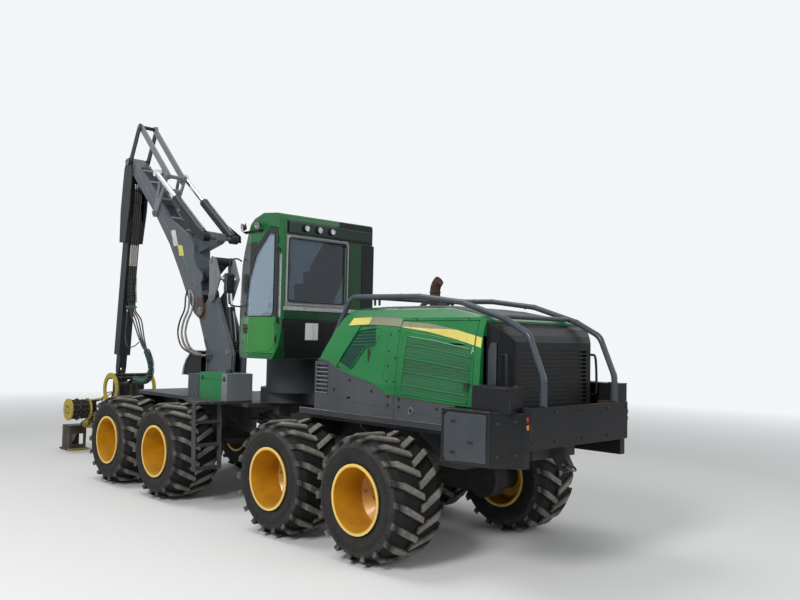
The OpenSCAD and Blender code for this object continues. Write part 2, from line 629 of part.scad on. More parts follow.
// Crane
col_y = [85, 115];
module crane_column() color("#565b60") at_frame() {
  base_z = deck_z + 199 + seat;
  translate([slew_x, 0, base_z]) cylinder(r = slew_r - 10, h = 110);
  both_sides() difference() {
    slab([[1560, base_z + 100], [1540, 1960], [1620, 2120], [2040, 2840], [2090, 2960], [2190, 2960], [2420, 2760],
          [2530, 2745], [2640, 2640], [2620, 2560], [2330, 1990], [2330, base_z + 100]], col_y[0], col_y[1]);
    pin(boom_pin, pin_r + run, 0, 200);
  }
  both_sides() for (rib = [
      [[1580, base_z + 105], [1612, base_z + 105], [1602, 1950], [1682, 2105], [2078, 2810], [2050, 2826], [1650, 2120], [1570, 1955]],
      [[2272, base_z + 105], [2304, base_z + 105], [2304, 1996], [2400, 2182], [2372, 2196], [2272, 2003]]])
    slab(rib, col_y[1] - 1, col_y[1] + 22);
  slab([[2280, base_z + 100], [2330, base_z + 100], [2330, 1990], [2560, 2440], [2520, 2480], [2290, 2040]], -col_y[0] - 1, col_y[0] + 1);
  slab([[1560, base_z + 100], [2330, base_z + 100], [2330, base_z + 140], [1560, base_z + 140]], -col_y[0] - 1, col_y[0] + 1);
  both_sides() pin(plate_pin, pin_r, col_y[1] - 1, 185);
  pin(lift_foot, pin_r - 8, -col_y[0] - 1, col_y[0] + 1);
}
module cylinder_barrel(foot, eye, length, eye_half, y) {
  d = (eye - foot) / norm(eye - foot);
  difference() {
    union() {
      pin(foot, pin_r + 30, y - eye_half, y + eye_half);
      bar(foot + d * 50, foot + d * length, barrel_r, y);
    }
    bar(foot + d * 110, foot + d * (length + 100), rod_r + run, y);
    pin(foot, pin_r - 8 + run, y - 300, y + 300);
  }
}
module cylinder_rod(foot, eye, start, eye_half, y) {
  d = (eye - foot) / norm(eye - foot);
  bar(foot + d * start, eye - d * 30, rod_r, y);
  pin(eye, pin_r + 22, y - eye_half, y + eye_half);
}
module lift_barrel() color("#2c2f33") at_frame() cylinder_barrel(lift_foot, lift_eye, 700, 60, 0);
module lift_rod() color("#c9ccd0") at_frame() {
  cylinder_rod(lift_foot, lift_eye, 300, 60, 0);
  pin(lift_eye, 28, -plate_y[0] + play, plate_y[0] - play);
}

plate_y = [157, 182];
module link_plates() color("#6a6f74") at_frame() {
  both_sides() difference() {
    union() {
      slab([plate_pin + [-70, -60], plate_pin + [60, -60], plate_top + [70, 20], plate_top + [0, 75], plate_top + [-110, 30],
            lift_eye + [-70, 0]], plate_y[0], plate_y[1]);
      pin(plate_pin, 85, plate_y[0], plate_y[1]);
    }
    pin(plate_pin, pin_r + run, 0, 300);
  }
  pin(plate_top, pin_r - 5, -plate_y[0] - 1, plate_y[0] + 1);
}
module coupler() color("#3b3e42") at_frame() difference() {
  union() {
    link(plate_top, ear_pin, 130, -100, 100);
    pin(plate_top, 65, -150, 150);
  }
  pin(plate_top, pin_r - 5 + run, -200, 200);
  pin(ear_pin, pin_r - 5 + run, -200, 200);
}

// Main boom: a box with a narrow heel, drawn along its own length
module main_boom() color("#565b60") at_frame() {
  heel_y = 121;
  difference() {
    union() {
      slab([boom_pin + [-70, -60], boom_pin + [40, -100], [2700, 2600], [2950, 2900], [3230, 3300], [3600, 3790], [4130, 4330],
            jib_pin + [10, -110], jib_pin + [90, -10], jib_pin + [30, 90], [4760, 5200], [4000, 4560], [3700, 4260], [3000, 3910],
            [2780, 3720], [2770, 3500], [2560, 3120], boom_pin + [-105, 30]], -boom_half, boom_half);
      both_sides() slab([[2600, 3050], ear_pin + [-50, -50], ear_pin + [-70, 20], ear_pin + [-20, 70], [2760, 3420]], heel_y, boom_half);
    }
    slab([boom_pin + [-300, 300], boom_pin + [-300, -300], boom_pin + [250, -300], boom_pin + [240, 10], boom_pin + [60, 260]],
         -heel_y, heel_y);
    slab([ear_pin + [-200, -300], ear_pin + [110, -160], ear_pin + [130, 150], ear_pin + [-200, 250]], -heel_y, heel_y);
  }
  pin(boom_pin, pin_r, -heel_y - 1, heel_y + 1);
  pin(ear_pin, pin_r - 5, -heel_y - 1, heel_y + 1);
  pin(jib_pin, pin_r, -200, 200);
  both_sides() pin(rocker_pin, pin_r, boom_half - 1, 200);
  // horn that carries the feet of the luffing cylinders
  slab([[2770, 3600], [2960, 3880], [2700, 3960], luff_foot + [40, 90], luff_foot + [-70, 60], luff_foot + [-80, -40],
        luff_foot + [0, -85]], -70, 70);
  pin(luff_foot, pin_r - 8, -330, 330);
}
luff_y = 260;
module luff_barrels() color("#2c2f33") at_frame() both_sides() cylinder_barrel(luff_foot, luff_eye, 1200, 60, luff_y);
module luff_rods() color("#c9ccd0") at_frame() both_sides() {
  cylinder_rod(luff_foot, luff_eye, 820, 50, luff_y);
  pin(luff_eye, 28, boom_half + 26 + 2 * play, luff_y);
}
module rocker() color("#6a6f74") at_frame() {
  both_sides() difference() {
    union() {
      slab([rocker_pin + [-60, -40], rocker_pin + [60, -20], luff_eye + [70, 0], luff_eye + [20, 70], rocker_top + [20, 70],
            rocker_top + [-70, 20]], boom_half + play, boom_half + play + 26);
      pin(rocker_pin, 75, boom_half + play, boom_half + play + 26);
    }
    pin(rocker_pin, pin_r + run, 0, 400);
    slab([rocker_pin + [-95, 210], rocker_top + [75, -110], luff_eye + [25, -75]], 0, 400);
  }
  pin(along(rocker_top, rocker_pin, 270), 50, -boom_half - play - 1, boom_half + play + 1);
  pin(rocker_top, pin_r - 8, -boom_half - play - 1, boom_half + play + 1);
}
module tie_links() color("#84898e") at_frame() both_sides() difference() {
  link(rocker_top, jib_head, 110, 118, 148);
  pin(rocker_top, pin_r - 8 + run, 0, 300);
  pin(jib_head, pin_r - 8 + run, 0, 300);
}

// Jib: a box with its head plates, and the extension inside it
slide_y = jib_half - jib_wall;
ext_y = slide_y - play;
function jib_at(s, n) = jib_pin + jib_dir * s + [-jib_dir[1], jib_dir[0]] * n;
module jib() color("#3f4347") at_frame() {
  cheek = [boom_half + play, boom_half + play + 22];
  box_top = 900;
  difference() {
    union() {
      both_sides() slab([jib_at(-90, -40), jib_at(-60, 90), jib_at(140, 150), jib_at(900, 170), jib_at(1500, 110), jib_at(1500, -110),
            jib_at(900, -180), jib_at(250, -180), jib_at(40, -120), jib_head + [-60, -20], jib_head + [-20, 60], jib_head + [50, 30]],
            cheek[0], cheek[1]);
      slab([jib_at(180, 120), jib_at(900, 140), jib_at(1500, 108), jib_at(3600, 105), jib_at(3600, -105), jib_at(1500, -108),
            jib_at(1100, -130), jib_at(box_top, -100), jib_at(box_top, 110), jib_at(180, 100)], -jib_half, jib_half);
      slab([jib_at(240, 110), jib_at(900, 140), jib_at(1500, 108), jib_at(1500, -108), jib_at(1100, -130), jib_at(1000, 60),
            jib_at(900, 115), jib_at(240, 90)], -cheek[0] - 1, cheek[0] + 1);
    }
    slab([jib_at(560, -80), jib_at(560, 80), jib_at(3480, 80), jib_at(3480, -80)], -slide_y, slide_y);
    slab([jib_at(3470, -74 - seat), jib_at(3470, 74 + seat), jib_at(3700, 74 + seat), jib_at(3700, -74 - seat)],
         -ext_y - seat, ext_y + seat);
    pin(jib_pin, pin_r + run, -400, 400);
  }
  pin(jib_head, pin_r - 8, -cheek[0] - 1, cheek[0] + 1);
}
module jib_extension() color("#2f3236") at_frame() difference() {
  union() {
    slab([jib_at(1150, seat - 80), jib_at(1150, 80 - seat), jib_at(1300, 80 - seat), jib_at(1300, seat - 80)],
         seat - slide_y, slide_y - seat);
    slab([jib_at(1150, -74), jib_at(1150, 74), jib_at(jib_len - 90, 74), jib_at(jib_len - 90, -74)], -ext_y, ext_y);
    slab([jib_at(jib_len - 120, -74), jib_at(jib_len - 120, 74), jib_at(jib_len, 60), jib_at(jib_len + 50, 0), jib_at(jib_len, -60)],
         -ext_y, ext_y);
  }
  slab([jib_at(jib_len - 90, -200), jib_at(jib_len - 90, 200), jib_at(jib_len + 200, 200), jib_at(jib_len + 200, -200)], -40, 40);
  pin(hang_pin, 25 + run, -300, 300);
}
module hanger() color("#2c2f33") at_frame() {
  slab([hang_pin + [-60, 40], hang_pin + [60, 40], hang_pin + [60, -130], hang_pin + [-60, -130]], -34, 34);
  pin(hang_pin, 25, -80, 80);
  translate([hang_pin[0], 0, hang_pin[1] - 400]) cylinder(r = 130, h = 271);
  translate([hang_pin[0], 0, hang_pin[1] - 446]) cylinder(r = 60, h = 60);
}
// Tilt frame under the rotator: two ring plates that reach over the head, joined by tubes and a beam
arch_y = [345, 375];
arch_at = tilt_pin + [20, 445];
arch_r = [205, 290];
module head_mount() color("#2b2d2f") at_frame() {
  top = hang_pin[1] - 400 - play;
  difference() {
    union() {
      translate([hang_pin[0], 0, top - 50]) cylinder(r = 150, h = 50);
      block([tilt_pin[0] + 90, -140, top - 110], [hang_pin[0] + 40, 140, top - 30]);
    }
    translate([hang_pin[0], 0, top - 44]) cylinder(r = 60 + run, h = 60);
  }
  both_sides() difference() {
    union() {
      difference() {
        pin(arch_at, arch_r[1], arch_y[0], arch_y[1]);
        pin(arch_at, arch_r[0], 0, 400);
      }
      slab([tilt_pin + [-70, 20], tilt_pin + [74, -20], tilt_pin + [190, 250], tilt_pin + [-60, 190]], arch_y[0], arch_y[1]);
      pin(tilt_pin, 78, arch_y[0], arch_y[1]);
    }
    pin(tilt_pin, 35 + run, 0, 400);
  }
  for (a = [52, 90, 128]) pin(arch_at + 250 * [cos(a), sin(a)], 28, -arch_y[0] - 1, arch_y[0] + 1);
  block([tilt_pin[0] + 50, -arch_y[0] - 1, tilt_pin[1] + 205], [tilt_pin[0] + 170, arch_y[0] + 1, top - 40]);
  slab([tilt_pin + [-80, 275], tilt_pin + [150, 275], tilt_pin + [200, 330], tilt_pin + [200, 520], tilt_pin + [120, 560],
        tilt_pin + [-60, 545], tilt_pin + [-90, 500]], -230, 230);
}

// Harvester head, lying along X with its trough downwards: knives at its rear, rollers in the middle, saw in front
back_z = tilt_pin[1] - 160;
trough_r = head_half + 70;
trough_z = back_z - trough_r;
feed_pin = [head_x + 1130, 285, back_z - 10];
knife_pin = [head_x + 60, 250, back_z - 40];
saw_pin = [front_reach - 190, 330, back_z - 260];
module saddle(r, x_low, x_high) intersection() {
  along_x([0, trough_z], r, x_low, x_high);
  block([x_low - 1, -head_half, trough_z + 225], [x_high + 1, head_half, back_z + 60]);
}
module head_frame() color("#c9b13a") at_frame() {
  x0 = head_x;
  x1 = front_reach;
  low = back_z - head_depth;
  difference() {
    union() {
      saddle(trough_r, x0 + 120, x1 - 600);
      for (x = [x0 + 120, x0 + 520, x0 + 900, x1 - 624]) saddle(trough_r + 30, x, x + 24);
      both_sides() {
        slab([[tilt_pin[0] - 150, back_z - 170], [tilt_pin[0] + 150, back_z - 170], tilt_pin + [70, 0], tilt_pin + [-70, 0]],
             285, 330);
        pin(tilt_pin, 70, 285, 330);
        for (x = [feed_pin[0] - 148, feed_pin[0] + 126])
          section([[140, back_z - 60], [330, back_z - 120], [335, back_z + 25], [240, back_z + 35]], x, x + 22);
        section([[190, back_z - 100], [300, back_z - 130], [296, back_z - 10], [220, back_z]], knife_pin[0] + 50, knife_pin[0] + 80);
      }
      pin(tilt_pin, 35, -arch_y[1] - 6, arch_y[1] + 6);
      // neck and end plate that carry the saw box
      section([[-260, back_z - 120], [-150, back_z - 20], [170, back_z - 20], [330, back_z - 120], [330, back_z - 200],
               [150, back_z - 200], [120, back_z - 90], [-120, back_z - 90], [-200, back_z - 200], [-260, back_z - 200]],
              x1 - 604, x1 - 300);
      block([x1 - 370, 240, low + 12], [x1 - 20, 560, back_z - 170]);
      flat([[x1 - 430, 200], [x1 - 430, 560], [x1 - 390, 600], [x1, 600], [x1, 200]], low, low + 26);
    }
    saddle(trough_r - 30, x0 + 100, x1 - 560);
    // the saw's room, open towards the trough and at the front
    block([x1 - 345, 200, low + 45], [x1 - 45, 535, back_z - 195]);
    block([x1 - 400, 290, low + 100], [x1 - 300, 500, back_z - 330]);
  }
  // valve box on the back
  slab([[x0 + 430, back_z - 15], [x1 - 800, back_z - 15], [x1 - 800, back_z + 40], [x1 - 900, back_z + 110],
        [x0 + 520, back_z + 110], [x0 + 430, back_z + 60]], -150, 150);
  both_sides() {
    along_x([feed_pin[1], feed_pin[2]], 18, feed_pin[0] - 148, feed_pin[0] + 148);
    along_x([knife_pin[1], knife_pin[2]], 18, knife_pin[0] - 50, knife_pin[0] + 60);
  }
  along_x([saw_pin[1], saw_pin[2]], 16, saw_pin[0] - 100, x1 - 150);
  block([x1 - 348, saw_pin[1] - 40, saw_pin[2] - 40], [saw_pin[0] - 60, saw_pin[1] + 40, saw_pin[2] + 40]);
}
// Feed arm, swung open: its roller lies along Y, with two flanges and bars between them
bar_count = 12;
module feed_arm(side) color("#2b2d2f") at_frame() on_side(side) {
  roller_at = [feed_pin[0], feed_pin[2] + 190];
  difference() {
    union() {
      along_x([feed_pin[1], feed_pin[2]], 40, feed_pin[0] - 120, feed_pin[0] + 120);
      section([[250, back_z - 30], [325, back_z - 30], [350, back_z + 90], [356, back_z + 300], [320, back_z + 352],
               [100, back_z + 380], [96, back_z + 350], [262, back_z + 310], [240, back_z + 120]],
              feed_pin[0] - 60, feed_pin[0] + 60);
    }
    along_x([feed_pin[1], feed_pin[2]], 18 + run, feed_pin[0] - 130, feed_pin[0] + 130);
  }
  pin(roller_at, 90, 340, 400);
  pin(roller_at, roller_r - 45, 390, 760);
  for (band = [[390, 412], [600, 616], [744, 776]]) pin(roller_at, roller_r, band[0], band[1]);
  for (i = [0:bar_count - 1]) translate([roller_at[0], 0, roller_at[1]]) rotate([0, i * 360 / bar_count, 0])
    block([-12, 400, roller_r - 60], [12, 750, roller_r - 22]);
}
module feed_arm_left() feed_arm(1);
module feed_arm_right() feed_arm(-1);
module knives(side) color("#3a3a3a") at_frame() on_side(side) {
  x = knife_pin[0];
  difference() {
    union() {
      along_x([knife_pin[1], knife_pin[2]], 34, x - 40, x + 40);
      translate([0, 0, knife_pin[2]])
        section([[225, 30], [290, 10], [400, -110], [450, -260], [440, -410], [370, -540], [290, -580], [250, -570], [340, -500],
                 [390, -400], [396, -270], [350, -140], [270, -50]], x - 14, x + 14);
    }
    along_x([knife_pin[1], knife_pin[2]], 18 + run, x - 100, x + 100);
  }
}
module knives_left() knives(1);
module knives_right() knives(-1);
module saw_bar() color("#8b8d8f") at_frame() translate(saw_pin) difference() {
  union() {
    rotate([0, 90, 0]) cylinder(r = 46, h = 24, center = true);
    rotate([30, 0, 0]) {
      block([-5, -34, -270], [5, 34, 0]);
      translate([0, 0, -270]) rotate([0, 90, 0]) cylinder(r = 34, h = 10, center = true);
    }
  }
  rotate([0, 90, 0]) cylinder(r = 16 + run, h = 40, center = true);
}

rear_frame();
rear_bogies();
engine_block();
hood();
hood_door_left();
hood_door_right();
tail_cowl();
side_covers();
guard_rails();
tail_boxes();
exhaust();
front_frame();
front_bogies();
side_boxes();
platform();
steer_barrel_left();
steer_barrel_right();
steer_rod_left();
steer_rod_right();
tyre(1, 1);  // tyre_left_1
tyre(2, 1);  // tyre_left_2
tyre(3, 1);  // tyre_left_3
tyre(4, 1);  // tyre_left_4
tyre(1, -1);  // tyre_right_1
tyre(2, -1);  // tyre_right_2
tyre(3, -1);  // tyre_right_3
tyre(4, -1);  // tyre_right_4
rim(1, 1);  // rim_left_1
rim(2, 1);  // rim_left_2
rim(3, 1);  // rim_left_3
rim(4, 1);  // rim_left_4
rim(1, -1);  // rim_right_1
rim(2, -1);  // rim_right_2
rim(3, -1);  // rim_right_3
rim(4, -1);  // rim_right_4
cab_shell();
cab_glass();
cab_door();
door_glass();
cab_seat();
crane_column();
lift_barrel();
lift_rod();
link_plates();
coupler();
main_boom();
luff_barrels();
luff_rods();
rocker();
tie_links();
jib();
jib_extension();
hanger();
head_mount();
head_frame();
feed_arm_left();
feed_arm_right();
knives_left();
knives_right();
saw_bar();
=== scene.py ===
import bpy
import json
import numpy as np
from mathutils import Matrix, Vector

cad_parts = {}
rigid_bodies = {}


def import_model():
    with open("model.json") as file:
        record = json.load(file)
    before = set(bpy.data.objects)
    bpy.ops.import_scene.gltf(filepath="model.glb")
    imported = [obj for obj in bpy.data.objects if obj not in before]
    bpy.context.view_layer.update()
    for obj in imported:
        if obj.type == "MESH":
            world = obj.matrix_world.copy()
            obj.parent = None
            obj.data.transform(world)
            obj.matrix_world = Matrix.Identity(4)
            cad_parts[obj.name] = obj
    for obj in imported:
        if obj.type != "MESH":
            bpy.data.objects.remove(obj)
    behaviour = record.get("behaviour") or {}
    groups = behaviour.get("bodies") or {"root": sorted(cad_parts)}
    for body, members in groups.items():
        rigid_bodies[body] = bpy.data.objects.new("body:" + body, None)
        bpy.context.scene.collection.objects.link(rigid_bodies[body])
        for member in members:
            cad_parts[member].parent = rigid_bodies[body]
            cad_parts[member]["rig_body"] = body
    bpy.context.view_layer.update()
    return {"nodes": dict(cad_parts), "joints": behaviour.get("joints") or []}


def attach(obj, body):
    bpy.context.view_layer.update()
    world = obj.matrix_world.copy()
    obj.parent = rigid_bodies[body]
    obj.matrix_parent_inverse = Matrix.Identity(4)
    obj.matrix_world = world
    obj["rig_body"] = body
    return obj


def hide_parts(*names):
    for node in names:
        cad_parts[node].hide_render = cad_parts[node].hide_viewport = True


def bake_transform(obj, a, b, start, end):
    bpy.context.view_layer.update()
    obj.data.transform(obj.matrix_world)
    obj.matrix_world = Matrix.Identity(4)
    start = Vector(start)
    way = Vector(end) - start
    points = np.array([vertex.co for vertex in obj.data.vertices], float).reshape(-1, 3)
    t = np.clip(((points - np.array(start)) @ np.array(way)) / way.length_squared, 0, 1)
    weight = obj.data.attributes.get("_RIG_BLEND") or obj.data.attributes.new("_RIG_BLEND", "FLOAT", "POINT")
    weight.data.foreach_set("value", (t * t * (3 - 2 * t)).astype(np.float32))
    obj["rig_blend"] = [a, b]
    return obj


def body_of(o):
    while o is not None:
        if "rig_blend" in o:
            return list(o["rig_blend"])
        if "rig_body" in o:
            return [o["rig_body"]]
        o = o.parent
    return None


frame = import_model()
import json
import math

import bpy
from mathutils import Matrix, Vector
from mathutils.bvhtree import BVHTree

# the centre joint is the machine's own zero, everything below is measured from it
jointX = next(j for j in frame["joints"] if j["name"] == "frame_steer")["pos_m"][0]
nodes = frame["nodes"]
machine = {"halfBase": 2.105, "bogieHalf": 0.75, "wheelRadius": 0.65, "halfTrack": 1.128}


bothSides = (("left", 1), ("right", -1))


def at(x, y, z):
    return Vector((x + jointX, y, z))


def local(place):
    # back from the shared frame to the machine's own zero
    return tuple(place - at(0, 0, 0))


# Shader groups: each puts out masks and values only

def newGroup(name, inputs, outputs):
    group = bpy.data.node_groups.new(name, "ShaderNodeTree")
    for label, default in inputs:
        socket = group.interface.new_socket(label, in_out="INPUT", socket_type="NodeSocketFloat")
        socket.default_value = default
    for label in outputs:
        group.interface.new_socket(label, in_out="OUTPUT", socket_type="NodeSocketFloat")
    return group, group.nodes.new("NodeGroupInput"), group.nodes.new("NodeGroupOutput")


def feed(tree, value, socket):
    # a socket takes either another node's output or a plain number
    if hasattr(value, "links"):
        tree.links.new(value, socket)
    else:
        socket.default_value = value


def math2(tree, kind, a, b=None, clamp=False, c=None):
    node = tree.nodes.new("ShaderNodeMath")
    node.operation = kind
    node.use_clamp = clamp
    for i, value in enumerate((a, b, c)):
        if value is not None:
            feed(tree, value, node.inputs[i])
    return node.outputs[0]


def noise(tree, vector, scale, detail=4.0, rough=0.55):
    node = tree.nodes.new("ShaderNodeTexNoise")
    node.inputs["Detail"].default_value = detail
    node.inputs["Roughness"].default_value = rough
    tree.links.new(vector, node.inputs["Vector"])
    feed(tree, scale, node.inputs["Scale"])
    return node.outputs["Fac"]


def remap(tree, value, low, high, outLow=0.0, outHigh=1.0):
    node = tree.nodes.new("ShaderNodeMapRange")
    for label, v in (("Value", value), ("From Min", low), ("From Max", high), ("To Min", outLow),
            ("To Max", outHigh)):
        feed(tree, v, node.inputs[label])
    return node.outputs["Result"]


def objectPlace(tree):
    return tree.nodes.new("ShaderNodeTexCoord").outputs["Object"]


def splitPlace(tree, vector):
    split = tree.nodes.new("ShaderNodeSeparateXYZ")
    tree.links.new(vector, split.inputs[0])
    return split.outputs


def buildWearGroup():
    # worn edges: where a rounded normal leaves the flat one
    tree, start, end = newGroup("edgeWear", (("Radius", 0.012), ("Amount", 0.5), ("Scale", 9.0)),
        ("Mask",))
    bevel = tree.nodes.new("ShaderNodeBevel")
    bevel.samples = 4
    tree.links.new(start.outputs["Radius"], bevel.inputs["Radius"])
    plain = tree.nodes.new("ShaderNodeNewGeometry")
    dot = tree.nodes.new("ShaderNodeVectorMath")
    dot.operation = "DOT_PRODUCT"
    tree.links.new(bevel.outputs["Normal"], dot.inputs[0])
    tree.links.new(plain.outputs["Normal"], dot.inputs[1])
    edge = remap(tree, dot.outputs["Value"], 0.995, 0.8)
    torn = remap(tree, noise(tree, objectPlace(tree), start.outputs["Scale"], 6.0, 0.7), 0.42, 0.62)
    both = math2(tree, "MULTIPLY", edge, torn)
    tree.links.new(math2(tree, "MULTIPLY", both, start.outputs["Amount"], True), end.inputs["Mask"])
    return tree


def buildDustGroup():
    # dust lies low on the machine, on faces that look up, and in patches
    inputs = (("Amount", 0.4), ("Low", 0.0), ("High", 2.2), ("Up", 0.5), ("Scale", 3.0))
    tree, start, end = newGroup("dustLayer", inputs, ("Mask",))
    place = objectPlace(tree)
    fall = remap(tree, splitPlace(tree, place)["Z"], start.outputs["High"], start.outputs["Low"])
    face = tree.nodes.new("ShaderNodeNewGeometry")
    up = splitPlace(tree, face.outputs["Normal"])
    lying = math2(tree, "MULTIPLY", math2(tree, "MAXIMUM", up["Z"], 0.0), start.outputs["Up"])
    patch = remap(tree, noise(tree, place, start.outputs["Scale"], 7.0, 0.62), 0.35, 0.7, 0.25, 1.0)
    total = math2(tree, "MULTIPLY", math2(tree, "ADD", fall, lying), patch)
    tree.links.new(math2(tree, "MULTIPLY", total, start.outputs["Amount"], True), end.inputs["Mask"])
    return tree


def buildStreakGroup():
    # thin upright runs of dirt, a fine grain for the bump, and scuffs
    tree, start, end = newGroup("streaks", (("Amount", 0.3), ("Scale", 14.0)), ("Mask", "Grain", "Scuff"))
    place = objectPlace(tree)
    squeeze = tree.nodes.new("ShaderNodeMapping")
    squeeze.inputs["Scale"].default_value = (1.0, 1.0, 0.06)
    tree.links.new(place, squeeze.inputs["Vector"])
    runs = remap(tree, noise(tree, squeeze.outputs[0], start.outputs["Scale"], 5.0, 0.6), 0.52, 0.75)
    tree.links.new(math2(tree, "MULTIPLY", runs, start.outputs["Amount"], True), end.inputs["Mask"])
    tree.links.new(noise(tree, place, 160.0, 3.0, 0.5), end.inputs["Grain"])
    tree.links.new(remap(tree, noise(tree, place, 31.0, 9.0, 0.78), 0.6, 0.74), end.inputs["Scuff"])
    return tree


def buildWheelGroup():
    # distance from the nearest axle, by one formula for all eight wheels
    tree, start, end = newGroup("wheelReach", (), ("Reach", "Side"))
    place = splitPlace(tree, objectPlace(tree))
    along = math2(tree, "ABSOLUTE", math2(tree, "SUBTRACT", place["X"], jointX))
    along = math2(tree, "ABSOLUTE", math2(tree, "SUBTRACT", along, machine["halfBase"]))
    along = math2(tree, "SUBTRACT", along, machine["bogieHalf"])
    lift = math2(tree, "SUBTRACT", place["Z"], machine["wheelRadius"])
    square = math2(tree, "ADD", math2(tree, "MULTIPLY", along, along),
        math2(tree, "MULTIPLY", lift, lift))
    tree.links.new(math2(tree, "SQRT", square), end.inputs["Reach"])
    across = math2(tree, "SUBTRACT", math2(tree, "ABSOLUTE", place["Y"]), machine["halfTrack"])
    tree.links.new(math2(tree, "ABSOLUTE", across), end.inputs["Side"])
    return tree


wearGroup = buildWearGroup()
dustGroup = buildDustGroup()
streakGroup = buildStreakGroup()
wheelGroup = buildWheelGroup()


def placeGroup(tree, group, **values):
    node = tree.nodes.new("ShaderNodeGroup")
    node.node_tree = group
    for label, value in values.items():
        node.inputs[label].default_value = value
    return node


def mixColour(tree, mask, a, b):
    node = tree.nodes.new("ShaderNodeMix")
    node.data_type = "RGBA"
    for index, value in ((0, mask), (6, a), (7, b)):
        if index and not hasattr(value, "links"):
            value = (*value, 1.0)
        feed(tree, value, node.inputs[index])
    return node.outputs[2]


def newMaterial(name):
    material = bpy.data.materials.new(name)
    material.use_nodes = True
    return material, material.node_tree, material.node_tree.nodes["Principled BSDF"]


def zoneMask(tree, low, high):
    # 1 inside a box of the machine, the same on its left and right
    place = splitPlace(tree, objectPlace(tree))
    across = math2(tree, "ABSOLUTE", place["Y"])
    mask = None
    for value, a, b in ((place["X"], low[0] + jointX, high[0] + jointX), (across, low[1], high[1]),
            (place["Z"], low[2], high[2])):
        inside = math2(tree, "COMPARE", value, (a + b) / 2, False, (b - a) / 2)
        mask = inside if mask is None else math2(tree, "MULTIPLY", mask, inside)
    return mask


def addBump(tree, shader, height, strength, distance):
    bump = tree.nodes.new("ShaderNodeBump")
    bump.inputs["Strength"].default_value = strength
    bump.inputs["Distance"].default_value = distance
    tree.links.new(height, bump.inputs["Height"])
    tree.links.new(bump.outputs[0], shader.inputs["Normal"])


dustTone = (0.2, 0.17, 0.135)
paintBase = {"rough": 0.35, "metal": 0.0, "coat": 0.0, "dust": 0.3, "dustHigh": 2.2, "up": 0.3,
    "wear": 0.5, "wearTone": (0.2, 0.19, 0.18), "streak": 0.25, "spread": 0.12, "bump": 0.04,
    "wearRadius": 0.01, "specular": 0.18, "scuff": 0.25, "zones": ()}


def paintMaterial(name, colour, **changes):
    look = {**paintBase, **changes}
    material, tree, shader = newMaterial(name)
    cloud = noise(tree, objectPlace(tree), 1.7, 3.0, 0.5)
    darker = tuple(c * (1.0 - look["spread"]) for c in colour)
    lighter = tuple(min(1.0, c * (1.0 + look["spread"])) for c in colour)
    base = mixColour(tree, remap(tree, cloud, 0.3, 0.7), darker, lighter)
    for tone, low, high in look["zones"]:
        base = mixColour(tree, zoneMask(tree, low, high), base, tone)
    runs = placeGroup(tree, streakGroup, Amount=look["streak"])
    base = mixColour(tree, runs.outputs["Mask"], base, tuple(c * 0.45 + 0.01 for c in colour))
    scuffed = math2(tree, "MULTIPLY", runs.outputs["Scuff"], look["scuff"])
    base = mixColour(tree, scuffed, base, tuple(c * 0.6 + 0.4 * w for c,
        w in zip(colour, look["wearTone"])))
    if look["wear"] > 0:
        worn = placeGroup(tree, wearGroup, Radius=look["wearRadius"], Amount=look["wear"])
        base = mixColour(tree, worn.outputs["Mask"], base, look["wearTone"])
    dusty = placeGroup(tree, dustGroup, Amount=look["dust"], High=look["dustHigh"], Up=look["up"])
    base = mixColour(tree, dusty.outputs["Mask"], base, dustTone)
    tree.links.new(base, shader.inputs["Base Color"])
    dull = math2(tree, "MULTIPLY", dusty.outputs["Mask"], 0.5)
    dull = math2(tree, "ADD", dull, math2(tree, "MULTIPLY", cloud, 0.12))
    dull = math2(tree, "ADD", dull, math2(tree, "MULTIPLY", scuffed, 0.2))
    tree.links.new(math2(tree, "ADD", dull, look["rough"] - 0.06, True), shader.inputs["Roughness"])
    shader.inputs["Metallic"].default_value = look["metal"]
    shader.inputs["Coat Weight"].default_value = look["coat"]
    shader.inputs["Coat Roughness"].default_value = 0.1
    shader.inputs["Specular IOR Level"].default_value = look["specular"]
    addBump(tree, shader, runs.outputs["Grain"], look["bump"], 0.002)
    return material


def plainMaterial(name, colour, rough, metal=0.0, grain=60.0, bump=0.1, spread=0.25):
    material, tree, shader = newMaterial(name)
    cloud = noise(tree, objectPlace(tree), grain, 5.0, 0.6)
    darker = tuple(c * (1.0 - spread) for c in colour)
    lighter = tuple(min(1.0, c * (1.0 + spread)) for c in colour)
    tree.links.new(mixColour(tree, remap(tree, cloud, 0.35, 0.65), darker, lighter),
        shader.inputs["Base Color"])
    tree.links.new(remap(tree, cloud, 0.3, 0.7, max(0.02, rough - 0.08), min(1.0, rough + 0.08)),
        shader.inputs["Roughness"])
    shader.inputs["Metallic"].default_value = metal
    addBump(tree, shader, cloud, bump, 0.001)
    return material


def chromeMaterial():
    material, tree, shader = newMaterial("rodChrome")
    smear = noise(tree, objectPlace(tree), 22.0, 4.0, 0.6)
    tree.links.new(mixColour(tree, remap(tree, smear, 0.45, 0.75), (0.74, 0.76, 0.78), (0.5, 0.5, 0.5)),
        shader.inputs["Base Color"])
    tree.links.new(remap(tree, smear, 0.3, 0.8, 0.08, 0.3), shader.inputs["Roughness"])
    shader.inputs["Metallic"].default_value = 1.0
    return material


def glassMaterial(name, tint, through):
    material, tree, shader = newMaterial(name)
    shader.inputs["Base Color"].default_value = (*tint, 1.0)
    shader.inputs["Transmission Weight"].default_value = through
    shader.inputs["IOR"].default_value = 1.35
    smear = noise(tree, objectPlace(tree), 5.0, 5.0, 0.6)
    tree.links.new(remap(tree, smear, 0.4, 0.8, 0.02, 0.1), shader.inputs["Roughness"])
    return material


